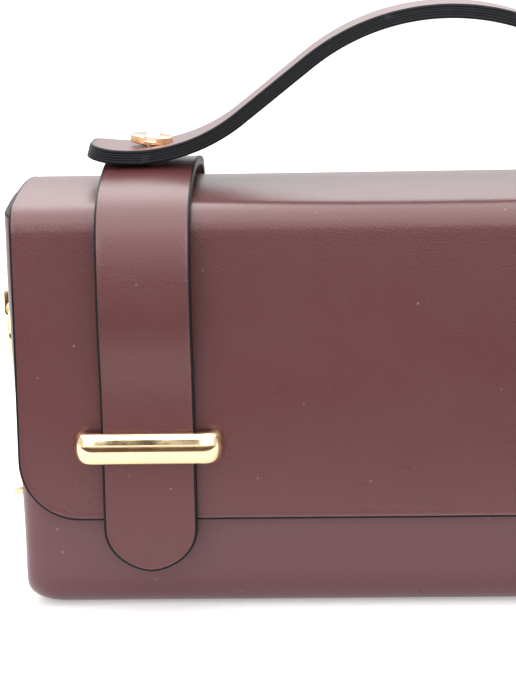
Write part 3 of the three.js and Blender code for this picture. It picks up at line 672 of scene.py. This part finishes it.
def make_sheet(name, path, outline, thickness, rounding, cover, across, first, second,
               steps, holes, wave, wave_size, seed, grooves=()):
    """A leather sheet with rounded painted edges, wrapped over a path. across, first and second are
    the axes of the flat sheet's width and of the path's plane."""
    rows = edge_profile(thickness, rounding, cover, grooves)
    spots = np.c_[outline * 0.08, np.full(len(outline), seed * 3.0)]
    wander = PAINT_WANDER * np.array([noise.noise(Vector(p)) for p in spots])
    loop = inset_outline(outline, cover + wander)
    rings = [np.array(h) for h in holes]
    flat, triangles = filled(loop, rings, *steps)
    count = len(outline)
    flats = [flat, flat]
    heights = [np.full(len(flat), rows[0][1]), np.full(len(flat), rows[-1][1])]
    for inset, height in rows[1:-1]:
        flats.append(inset_outline(outline, inset + (wander if inset > rounding else 0)))
        heights.append(np.full(count, height))
    sizes = np.cumsum([0] + [len(f) for f in flats])
    flats = np.concatenate(flats)
    heights = np.concatenate(heights)
    heights = heights + wave * wobble(np.c_[flats, np.zeros(len(flats))], wave_size, seed)
    spot, normal = on_path(path, flats[:, 1])
    spot = spot + normal * heights[:, None]
    points = (flats[:, :1] * np.array(across, float)
              + spot[:, :1] * np.array(first, float)
              + spot[:, 1:] * np.array(second, float))
    faces = [tuple(t) for t in triangles]
    slots = [0] * len(faces)
    faces += [tuple(t[::-1] + len(flat)) for t in triangles]
    slots += [2] * len(triangles)
    starts = [0, *sizes[2:-1], len(flat)]
    for upper, lower in zip(starts, starts[1:]):
        for i in range(count):
            j = (i + 1) % count
            faces.append((upper + i, lower + i, lower + j, upper + j))
            slots.append(1)
    start = count
    for ring in rings:
        for i in range(len(ring)):
            a, b = start + i, start + (i + 1) % len(ring)
            faces.append((a, b, b + len(flat), a + len(flat)))
            slots.append(1)
        start += len(ring)
    return make_object(name, points, faces, [leather, paint, suede], slots)


def circle(centre, radius, count=24):
    angle = np.linspace(0, 2 * math.pi, count, endpoint=False)
    return np.stack([centre[0] + radius * np.cos(angle), centre[1] + radius * np.sin(angle)], 1)


X = (1, 0, 0)
Y = (0, 1, 0)
Z = (0, 0, 1)


def make_flap():
    path = flap_path()
    length = path[0][-1]
    outline = plate_outline(BODY_WIDTH / 2, 0, length, FLAP_FRONT_CORNER, FLAP_BACK_CORNER)
    top = np.interp(0, path[1][:, 0], path[0])
    holes = [circle((side * strap_centre, top), stud_hole_radius) for side in (-1, 1)]
    flap = make_sheet("flap_leather", path, outline, FLAP_THICKNESS, EDGE_ROUNDING, EDGE_COVER, X, Y, Z,
                      (2.5, 2.0), holes, wave=0.10, wave_size=55, seed=1)
    place(flap, "bag", "flap")


def make_strap(word, side):
    path = strap_path()
    length = path[0][-1]
    centre = side * strap_centre
    outline = strap_outline(centre, length)
    top = np.interp(0, path[1][:, 0], path[0])
    strap = make_sheet(f"strap_leather_{word}", path, outline, STRAP_THICKNESS, EDGE_ROUNDING, EDGE_COVER,
                       X, Y, Z, (1.8, 1.8), [circle((centre, top), stud_hole_radius)],
                       wave=0.06, wave_size=30, seed=3 + side)
    place(strap, "bag", f"strap_{word}")


def make_handle():
    path = handle_path()
    length = path[0][-1]
    outline = plate_outline(HANDLE_WIDTH / 2, 0, length, HANDLE_END_CORNER, HANDLE_END_CORNER)
    studs = np.interp([-strap_centre, strap_centre], path[1][:, 0], path[0])
    holes = [circle((0, along), stud_hole_radius) for along in studs]
    handle = make_sheet("handle_leather", path, outline, HANDLE_THICKNESS, HANDLE_EDGE_ROUNDING,
                        HANDLE_EDGE_COVER, (0, -1, 0), X, Z, (1.8, 1.8), holes,
                        wave=0.05, wave_size=35, seed=6, grooves=HANDLE_GROOVES)
    handle.data.materials[2] = leather
    place(handle, "bag", "handle")


# Body

def edge_inset(radius, height):
    rise = max(radius - height, 0)
    return radius - math.sqrt(radius * radius - rise * rise)


def side_half_width(height):
    share = min(max(height / rim_height, 0), 1)
    return BODY_WIDTH / 2 + BODY_FLARE * float(np.interp(share, SIDE_HEIGHT_SHARES, SIDE_FLARE_SHARES))


def smooth_half_width(height):
    """The side's flare with its table's corners eased."""
    heights = [height + shift for shift in (-9, -4.5, 0, 4.5, 9)]
    if height < 12 or height > rim_height - 12:
        return side_half_width(height)
    return sum(side_half_width(h) for h in heights) / 5


def plan_ring(half_width, half_depth, radius):
    """Points around the bag at one height, the same number for any size."""
    corners = []
    for side_x, side_y, quarter in ((1, 1, 0), (-1, 1, 1), (-1, -1, 2), (1, -1, 3)):
        angle = np.linspace(quarter, quarter + 1, 13) * math.pi / 2
        x = side_x * (half_width - radius) + radius * np.cos(angle)
        y = side_y * (half_depth - radius) + radius * np.sin(angle)
        corners.append(np.stack([x, y], 1))
    ring = []
    for index, corner in enumerate(corners):
        ring.append(corner)
        follow = corners[(index + 1) % 4][0]
        count = 56 if index % 2 == 0 else 16
        share = np.linspace(0, 1, count + 1)[1:-1, None]
        ring.append(corner[-1] + (follow - corner[-1]) * share)
    return np.concatenate(ring)


def rim_at(y):
    """How high the walls reach at a place between front and back."""
    arcs = top_arcs(BODY_DEPTH / 2, rim_height, rim_crown, rim_bend)
    middle, bend_height, crown_middle, back, _ = arcs
    past = np.abs(y) - middle
    bend = bend_height + np.sqrt(np.maximum(rim_bend ** 2 - np.maximum(past, 0) ** 2, 0))
    crown = crown_middle + np.sqrt(rim_crown ** 2 - np.abs(y) ** 2)
    return np.where(np.abs(y) > rim_crown * math.cos(back), bend, crown)


def body_ring(inset, height):
    front_radius = BASE_FRONT_RADIUS - inset
    side_radius = BASE_SIDE_RADIUS - inset
    half_width = smooth_half_width(height) - inset - edge_inset(side_radius, height - inset)
    half_depth = BODY_DEPTH / 2 - inset - edge_inset(front_radius, height - inset)
    return plan_ring(half_width, half_depth, UPRIGHT_EDGE_RADIUS - inset)


def level_ring(inset, height):
    ring = body_ring(inset, height)
    return np.c_[ring, np.full(len(ring), height)]


def floor_rings(inset, shares):
    """Rings on the underside, or inside on the floor, each a share of the bag's own size."""
    ring = body_ring(inset, inset)
    return [np.c_[ring * share, np.full(len(ring), inset)] for share in shares]


def wall_ring(inset, share):
    """A ring near the rim: level at a share of 0, and along the rim's crown at 1."""
    start = rim_height - RIM_EASE
    ring = body_ring(inset, start + share * (rim_height - start))
    top = rim_at(ring[:, 1]) - RIM_ROUNDING
    return np.c_[ring, start + share * (top - start)]


def rim_ring(inset, inward, angle):
    """A ring on the rim's rounding, which has its top at a quarter turn."""
    ring = body_ring(inset + inward * RIM_ROUNDING * (1 - math.cos(angle)), rim_height)
    return np.c_[ring, rim_at(ring[:, 1]) - RIM_ROUNDING * (1 - math.sin(angle))]


def make_body():
    wall_end = rim_height - RIM_EASE
    inner_radius = BASE_FRONT_RADIUS - BODY_WALL
    quarter = math.pi / 2
    rings = floor_rings(0, (0.25, 0.5, 0.75, 0.9, 0.97))
    rings += [level_ring(0, BASE_FRONT_RADIUS * (1 - math.cos(a))) for a in np.linspace(0, quarter, 15)]
    rings += [level_ring(0, height) for height in np.linspace(BASE_FRONT_RADIUS, wall_end, 30)[1:]]
    rings += [wall_ring(0, share) for share in (0.25, 0.5, 0.75, 1)]
    painted_from = len(rings) - 1
    rings += [rim_ring(0, 1, angle) for angle in np.linspace(0, quarter, 6)[1:]]
    rings += [rim_ring(BODY_WALL, -1, angle) for angle in np.linspace(quarter, 0, 6)]
    painted_to = len(rings) - 1
    rings += [wall_ring(BODY_WALL, share) for share in (0.66, 0.33)]
    rings += [level_ring(BODY_WALL, height) for height in np.linspace(wall_end, BASE_FRONT_RADIUS, 16)]
    for angle in np.linspace(quarter, 0, 9)[1:]:
        rings.append(level_ring(BODY_WALL, BODY_WALL + inner_radius * (1 - math.cos(angle))))
    rings += floor_rings(BODY_WALL, (0.95, 0.6, 0.25))
    points, faces = swept(rings)
    bands = [0] * painted_from + [1] * (painted_to - painted_from) + [2] * (len(rings) - 1 - painted_to)
    slots = [*np.repeat(bands, len(rings[0])), 0, 2]
    ease = np.clip(points[:, 2] / 20, 0, 1)
    out = np.where(np.abs(points[:, 1]) > BODY_DEPTH / 2 - 3, 1.0, 0.0)
    points[:, 1] += -np.sign(points[:, 1]) * BODY_WAVE * ease * out * np.abs(wobble(points, 60, 9))
    body = make_object("floor_lit_body_leather", points, faces, [floor_lit_body_leather, paint, suede], slots)
    place(body, "bag", "body_shell")


# Gold pieces

def turned(profile, count, axis="z", centre=(0, 0, 0)):
    """Points and faces of a profile of radius and height that is turned around an axis."""
    angle = np.linspace(0, 2 * math.pi, count, endpoint=False)
    rings = []
    for radius, height in profile:
        radius = max(radius, 0.02)
        ring = np.stack([radius * np.cos(angle), radius * np.sin(angle), np.full(count, height)], 1)
        rings.append(ring)
    points, faces = swept(rings)
    if axis == "x":
        points = points[:, [2, 0, 1]]
    return points + np.array(centre, float), faces


def combined(*parts):
    """Several lots of points and faces as one."""
    points = []
    faces = []
    start = 0
    for own, own_faces in parts:
        points.append(own)
        faces += [tuple(np.array(f) + start) for f in own_faces]
        start += len(own)
    return np.concatenate(points), faces


def keeper_section():
    """Flat towards the strap and crowned outwards: how far out, and how high."""
    crown = KEEPER_THICKNESS - KEEPER_EDGE_THICKNESS
    half = KEEPER_HEIGHT / 2
    points = []
    for angle in np.linspace(-math.pi / 2, math.pi / 2, 41):
        out = KEEPER_EDGE_THICKNESS + crown * math.cos(angle) - KEEPER_THICKNESS / 2
        points.append((out, math.sin(angle) * half))
    back = -KEEPER_THICKNESS / 2
    soft = 0.5
    for start, centre in ((0.5, (back + soft, half - soft)), (1.0, (back + soft, soft - half))):
        points += arc_points(centre, soft, start * math.pi, (start + 0.5) * math.pi, 6)
    return np.array(points)


def make_keeper(word, side):
    half = keeper_leg_offset
    foot = -flap_half_depth - GAP
    bar = -strap_half_depth - KEEPER_STRAP_CLEARANCE - KEEPER_THICKNESS / 2
    bend = KEEPER_BEND_RADIUS
    stations = [(-half, foot, math.pi), (-half, (foot + bar + bend) / 2, math.pi)]
    for end in (-1, 1):
        for share in np.linspace(0, 1, 25):
            turn = math.pi * (1.25 + 0.25 * end + 0.5 * share)
            x = end * (half - bend) + bend * math.cos(turn)
            stations.append((x, bar + bend * (1 + math.sin(turn)), turn))
        if end < 0:
            for x in np.linspace(bend - half, half - bend, 30)[1:-1]:
                stations.append((x, bar, 1.5 * math.pi))
    stations += [(half, (foot + bar + bend) / 2, 2 * math.pi), (half, foot, 2 * math.pi)]
    section = keeper_section()
    rings = []
    for x, y, turn in stations:
        ring = np.stack([
            side * strap_centre + x + section[:, 0] * math.cos(turn),
            y + section[:, 0] * math.sin(turn),
            keeper_middle + section[:, 1],
        ], 1)
        rings.append(ring[::-1])
    parts = [swept(rings)]
    for leg in (-half, half):
        profile = [(KEEPER_PIN_RADIUS, -KEEPER_EDGE_THICKNESS), (KEEPER_PIN_RADIUS, KEEPER_PIN_LENGTH)]
        points, faces = turned(profile, 32)
        points = points[:, [1, 2, 0]] + np.array((side * strap_centre + leg, foot, keeper_middle))
        parts.append((points, faces))
    keeper = make_object(f"keeper_gold_{word}", *combined(*parts), [gold])
    sharpen(keeper, 50)
    place(keeper, "bag", f"keeper_{word}")


def rounded_profile(radius, low, high, soft_low, soft_high):
    """The outer side of a turned disc with rounded edges."""
    lower = arc_points((radius - soft_low, low + soft_low), soft_low, -math.pi / 2, 0, 5)
    return lower + arc_points((radius - soft_high, high - soft_high), soft_high, 0, math.pi / 2, 7)


def stud_head():
    """The head by itself, with its seat at the origin: a disc with rounded edges and a slot across."""
    half, low, high = STUD_SLOT_WIDTH / 2, STUD_HEAD_HEIGHT - STUD_SLOT_DEPTH, STUD_HEAD_HEIGHT
    reach, ease = STUD_HEAD_RADIUS, STUD_HEAD_CHAMFER
    start = math.asin(half / reach)
    angle = np.linspace(start, math.pi - start, 41)
    rim = np.stack([np.sin(angle), -np.cos(angle)], 1)
    parts = []
    for hand in (-1, 1):
        rings = []
        for inset, z in (
            (0.35, 0), (0.1, 0.1), (0, 0.35), (0, 0.42),
            (0, high - ease - 0.07), (0, high - ease),
            (0.06, high - 0.6 * ease), (0.2, high - 0.22 * ease), (ease, high),
        ):
            outer = rim * (reach - inset)
            outer[:, 0] = np.maximum(outer[:, 0], half + min(inset, STUD_SLOT_EASE) * (z > low))
            rings.append(np.c_[outer, np.full(len(outer), z)][::hand] * np.array((hand, 1, 1)))
        parts.append(swept(rings))
    floor_rim = circle((0, 0), 1, 96)
    floor_reach = half + 0.3
    floor_rings = []
    for inset, z in ((0.35, 0), (0.05, 0.2), (0.02, low - 0.1), (0.15, low)):
        ring = floor_rim * (reach - inset)
        ring[:, 0] = np.clip(ring[:, 0], -floor_reach, floor_reach)
        floor_rings.append(np.c_[ring, np.full(len(ring), z)])
    return combined(*parts, swept(floor_rings))


def make_handle_stud(word, side):
    slope = -side * math.asin(HANDLE_FOOT_OFFSET / HANDLE_FOOT_RADIUS)
    outer = HANDLE_FOOT_RADIUS - HANDLE_THICKNESS / 2
    surface = foot_height + HANDLE_FOOT_RADIUS - math.sqrt(outer ** 2 - HANDLE_FOOT_OFFSET ** 2)
    seat = surface + outer - math.sqrt(outer ** 2 - STUD_HEAD_RADIUS ** 2) + STUD_SEAT_GAP
    shank_top = seat + 0.4
    foot_bottom = foot_height - HANDLE_THICKNESS / 2
    strap_bottom = strap_top + STRAP_RISE - STRAP_THICKNESS
    profile = [(0, rim_height - STUD_NUT_HEIGHT)]
    profile += rounded_profile(STUD_NUT_RADIUS, rim_height - STUD_NUT_HEIGHT, rim_height, 0.3, 0.3)
    profile += [(STUD_SHANK_RADIUS, rim_height), (STUD_SHANK_RADIUS, FLAP_TOP + GAP)]
    profile += rounded_profile(STUD_COLLAR_RADIUS, FLAP_TOP + GAP, strap_bottom - GAP, 0.2, 0.2)
    profile += [(STUD_SHANK_RADIUS, strap_bottom - GAP), (STUD_SHANK_RADIUS, foot_bottom)]
    profile += [(STUD_SHANK_RADIUS, shank_top), (0, shank_top)]
    shank = turned(profile, 64, "z", (side * strap_centre, 0, 0))
    points, faces = stud_head()
    turn = np.array(Matrix.Rotation(slope, 3, "Y"))
    points = points @ turn.T + np.array((side * strap_centre, 0, seat))
    stud = make_object(f"shaded_stud_gold_{word}", *combined(shank, (points, faces)), [shaded_stud_gold])
    sharpen(stud, 35)
    place(stud, "bag", f"handle_stud_{word}")


def lug_seat():
    return side_half_width(lug_top) + GAP


def ring_place():
    return lug_seat() + LUG_THICKNESS / 2


def make_ring(word, side):
    centre = np.array((side * ring_place(), 0, ring_pivot_height - RING_RADIUS))
    rings = []
    for angle in np.linspace(0, 2 * math.pi, 128, endpoint=False):
        ray = np.array((0, math.cos(angle), math.sin(angle)))
        turn = np.linspace(0, 2 * math.pi, 28, endpoint=False)
        ring = centre + ray * (RING_RADIUS + RING_WIRE_RADIUS * np.cos(turn))[:, None]
        ring = ring + np.array(X) * (RING_WIRE_RADIUS * np.sin(turn))[:, None]
        rings.append(ring[::-1])
    ring = make_object(f"ring_gold_{word}", *swept(rings, True), [gold])
    place(ring, f"{word}_ring", f"side_ring_{word}")


def make_lug(word, side):
    half = LUG_LENGTH / 2
    sag = RING_RADIUS - math.sqrt(RING_RADIUS ** 2 - half ** 2)
    hole = RING_WIRE_RADIUS + sag + RING_HOLE_CLEARANCE
    left, right = -LUG_THICKNESS / 2, LUG_THICKNESS / 2
    outline = [(left, lug_bottom)]
    for turn, height in ((-0.5, lug_bottom + LUG_CORNER), (0, lug_top - LUG_CORNER)):
        centre = (right - LUG_CORNER, height)
        outline += arc_points(centre, LUG_CORNER, turn * math.pi, (turn + 0.5) * math.pi, 8)
    outline = np.array(outline + [(left, lug_top)])
    rings = [np.stack([outline[:, 0], np.full(len(outline), y), outline[:, 1]], 1) for y in (half, -half)]
    lug = make_object(f"lug_gold_{word}", *swept(rings), [gold])
    points, faces = turned([(hole, -LUG_LENGTH), (hole, LUG_LENGTH)], 64)
    points = points[:, [1, 2, 0]] + np.array((0, 0, ring_pivot_height))
    cutter = make_object("hole_cutter", points, faces, [gold])
    cut = lug.modifiers.new("hole", "BOOLEAN")
    cut.operation = "DIFFERENCE"
    cut.object = cutter
    cut.solver = "EXACT"
    settle(lug)
    bpy.data.objects.remove(cutter)
    ease = lug.modifiers.new("ease", "BEVEL")
    ease.width = LUG_EASE * MM
    ease.segments = 4
    ease.angle_limit = math.radians(50)
    settle(lug)
    face = left - (lug_seat() - side_half_width(lug_pin_height) + BODY_WALL + GAP)
    back = face - WASHER_THICKNESS
    centre = (0, 0, lug_pin_height)
    pin = turned([(LUG_PIN_RADIUS, back), (LUG_PIN_RADIUS, left + LUG_CORNER / 2)], 32, "x", centre)
    washer = turned(rounded_profile(LUG_WASHER_RADIUS, back, face, 0.2, 0.2), 48, "x", centre)
    inner = make_object("lug_pin", *combined(pin, washer), [gold])
    mesh = bmesh.new()
    mesh.from_mesh(lug.data)
    mesh.from_mesh(inner.data)
    if side < 0:
        bmesh.ops.rotate(mesh, cent=(0, 0, 0), matrix=Matrix.Rotation(math.pi, 3, "Z"), verts=mesh.verts)
    bmesh.ops.translate(mesh, vec=(side * ring_place() * MM, 0, 0), verts=mesh.verts)
    mesh.to_mesh(lug.data)
    mesh.free()
    bpy.data.objects.remove(inner)
    sharpen(lug, 40)
    place(lug, "bag", f"ring_lug_{word}")


def make_side_stud(place_word, word, side, end):
    wall = side_half_width(SIDE_STUD_HEIGHT)
    seat = side_half_width(SIDE_STUD_HEIGHT + SIDE_STUD_RADIUS) + GAP
    tip = wall + SIDE_STUD_PROUD
    face = side_half_width(SIDE_STUD_HEIGHT - SIDE_STUD_WASHER_RADIUS) - BODY_WALL - GAP
    profile = [(0, face - WASHER_THICKNESS)]
    profile += rounded_profile(SIDE_STUD_WASHER_RADIUS, face - WASHER_THICKNESS, face, 0.2, 0.2)
    profile += [(SIDE_STUD_SHANK_RADIUS, face), (SIDE_STUD_SHANK_RADIUS, seat)]
    profile += rounded_profile(SIDE_STUD_RADIUS, seat, tip, 0.15, 0.55)
    profile += [(0.8, tip), (0, tip)]
    points, faces = turned(profile, 64, "x")
    points = points * np.array((side, side, 1)) + np.array((0, end * side_stud_place, SIDE_STUD_HEIGHT))
    stud = make_object(f"side_stud_gold_{place_word}_{word}", points, faces, [gold])
    sharpen(stud, 40)
    place(stud, "bag", f"side_stud_{place_word}_{word}")


# Stitches that hold the flap's back leg to the body

def make_stitches():
    half = BODY_WIDTH / 2 - STITCH_INSET
    low, high = FLAP_BACK_END + STITCH_INSET, FLAP_TOP - STITCH_DROP
    corner = FLAP_BACK_CORNER - STITCH_INSET
    line = [(-half, high)]
    line += straight_points((-half, high), (-half, low + corner), 1)
    line += corner_points((corner - half, low + corner), corner, math.pi, 1.5 * math.pi)
    line += straight_points((corner - half, low), (half - corner, low), 1)
    line += corner_points((half - corner, low + corner), corner, 1.5 * math.pi, 2 * math.pi)
    line += straight_points((half, low + corner), (half, high), 1)
    line.append((half, high))
    line = np.array(line)
    lengths = np.concatenate([[0], np.cumsum(np.linalg.norm(np.diff(line, axis=0), axis=1))])
    count = round(lengths[-1] / STITCH_PITCH)
    pitch = lengths[-1] / count
    share = np.linspace(0, 1, 9)
    bow = np.sin(share * math.pi) ** 0.5
    turn = np.linspace(0, 2 * math.pi, 8, endpoint=False)
    parts = []
    for index in range(count):
        along = pitch * (index + (1 - STITCH_SHARE) / 2 + STITCH_SHARE * share)
        x = np.interp(along, lengths, line[:, 0])
        z = np.interp(along, lengths, line[:, 1])
        ahead = np.array((x[-1] - x[0], 0, z[-1] - z[0]))
        across = np.cross(ahead / np.linalg.norm(ahead), Y)
        rings = []
        for i in range(len(share)):
            radius = STITCH_RADIUS * (0.35 + 0.65 * bow[i])
            centre = np.array((x[i], flap_half_depth - STITCH_SINK + STITCH_BOW * bow[i], z[i]))
            rings.append(centre + radius * (np.outer(np.cos(turn), across) + np.outer(np.sin(turn), Y)))
        parts.append(swept(rings))
    stitches = make_object("flap_back_stitches", *combined(*parts), [thread])
    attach(stitches, "bag")


# Studio

# How bright the dome is, by degrees from the front horizon over the bag to the back one
DOME_GLOW = (
    (0, 0.1), (4, 1.4), (11, 4.2), (45, 4.8), (80, 5.8), (112, 6.8), (140, 3.4), (165, 1.0),
)


def emitting(name, colour, strength):
    material = bpy.data.materials.new(name)
    material.use_nodes = True
    nodes = material.node_tree.nodes
    nodes.clear()
    glow = nodes.new("ShaderNodeEmission")
    glow.inputs["Color"].default_value = (*colour, 1)
    glow.inputs["Strength"].default_value = strength
    out = nodes.new("ShaderNodeOutputMaterial")
    material.node_tree.links.new(glow.outputs[0], out.inputs["Surface"])
    return material


def plane(name, corners, material):
    made = make_object(name, corners, [(0, 1, 2, 3)], [material], smooth=False)
    return made


def level_corners(half_width, front, back, height):
    return [(x, y, height) for x, y in (
        (-half_width, front), (half_width, front), (half_width, back), (-half_width, back))]


def reflected_only(made):
    """A studio card that is seen in glossy surfaces and nowhere else."""
    made.visible_camera = False
    made.visible_diffuse = False
    made.visible_shadow = False
    made.visible_transmission = False


def area_light(name, place_mm, target_mm, size, power):
    """A soft light that isn't seen in glossy surfaces."""
    data = bpy.data.lights.new(name, "AREA")
    data.shape = "RECTANGLE"
    data.size, data.size_y = size[0] * MM, size[1] * MM
    data.energy = power
    made = bpy.data.objects.new(name, data)
    bpy.context.scene.collection.objects.link(made)
    made.location = Vector(place_mm) * MM
    made.rotation_mode = "QUATERNION"
    made.rotation_quaternion = (Vector(target_mm) - Vector(place_mm)).to_track_quat("-Z", "Y")
    made.visible_glossy = False


def calculated(tree, operation, first, second):
    """The output of a math node. Each value is a number or a socket."""
    made = tree.nodes.new("ShaderNodeMath")
    made.operation = operation
    for socket, value in zip(made.inputs, (first, second)):
        if isinstance(value, bpy.types.NodeSocket):
            tree.links.new(value, socket)
        else:
            socket.default_value = value
    return made.outputs[0]


def make_dome():
    """The bright side of the studio: a half tunnel of light over the bag, from the front to the back."""
    radius, half_length, count = 1500, 2200, 48
    material = emitting("studio light", (1, 1, 1), 1.0)
    tree = material.node_tree
    nodes, links = tree.nodes, tree.links
    spot = nodes.new("ShaderNodeSeparateXYZ")
    links.new(nodes.new("ShaderNodeTexCoord").outputs["Object"], spot.inputs[0])
    ahead = calculated(tree, "MULTIPLY", spot.outputs["Y"], -1)
    turn = calculated(tree, "ARCTAN2", spot.outputs["Z"], ahead)
    ramp = nodes.new("ShaderNodeValToRGB")
    links.new(calculated(tree, "DIVIDE", turn, math.pi), ramp.inputs[0])
    stops = ramp.color_ramp.elements
    brightest = max(value for _, value in DOME_GLOW)
    for index, (degrees, value) in enumerate(DOME_GLOW):
        stop = stops[index] if index < 2 else stops.new(1.0)
        stop.position = degrees / 180
        stop.color = (value / brightest,) * 3 + (1,)
    glow = next(node for node in nodes if node.bl_idname == "ShaderNodeEmission")
    links.new(ramp.outputs["Color"], glow.inputs["Color"])
    glow.inputs["Strength"].default_value = brightest
    points = []
    for angle in np.linspace(math.radians(0.5), math.radians(179.5), count + 1):
        y, z = -radius * math.cos(angle), radius * math.sin(angle)
        points += [(-half_length, y, z), (half_length, y, z)]
    faces = [(2 * i, 2 * i + 1, 2 * i + 3, 2 * i + 2) for i in range(count)]
    dome = make_object("studio_dome", points, faces, [material])
    return dome


def make_studio():
    floor_look = Look("white floor", (0.93, 0.93, 0.93), 0.85, specular=0.1)
    grain = floor_look.noise(40, 3, 0.5)
    floor_look.set("Base Color", floor_look.mixed(grain, (0.91, 0.91, 0.91), (0.95, 0.95, 0.95)))
    floor_look.shader.inputs["Emission Color"].default_value = (1, 1, 1, 1)
    floor_look.shader.inputs["Emission Strength"].default_value = 0.35
    plane("floor", level_corners(6000, -6000, 6000, -0.1), floor_look.material)
    table = emitting("table edge", (0.34, 0.22, 0.16), 0.45)
    dark = emitting("dark screen", (0.035, 0.033, 0.028), 1.0)
    reflected_only(plane("table_card", level_corners(900, -1500, -205, 0.4), table))
    reflected_only(make_dome())
    left, right, front, bottom, top = -194, -108, -700, 112, 470
    corners = [(left, front, bottom), (right, front, bottom), (right, front, top), (left, front, top)]
    reflected_only(plane("screen_card", corners, dark))
    world = bpy.data.worlds.new("studio")
    world.use_nodes = True
    background = world.node_tree.nodes["Background"]
    background.inputs["Color"].default_value = (1, 1, 1, 1)
    background.inputs["Strength"].default_value = 0.95
    bpy.context.scene.world = world
    area_light("top_softbox", (-150, 150, 1150), (0, 0, 100), (1300, 1100), 9)
    area_light("key_softbox", (-900, -900, 900), (0, 0, 80), (700, 700), 5)
    bpy.context.scene.view_settings.view_transform = "Standard"


make_camera()
make_body()
make_flap()
make_handle()
for word, side in (("left", -1), ("right", 1)):
    make_strap(word, side)
    make_keeper(word, side)
    make_handle_stud(word, side)
    make_ring(word, side)
    make_lug(word, side)
    for place_word, end in (("front", -1), ("back", 1)):
        make_side_stud(place_word, word, side, end)
make_stitches()
make_studio()
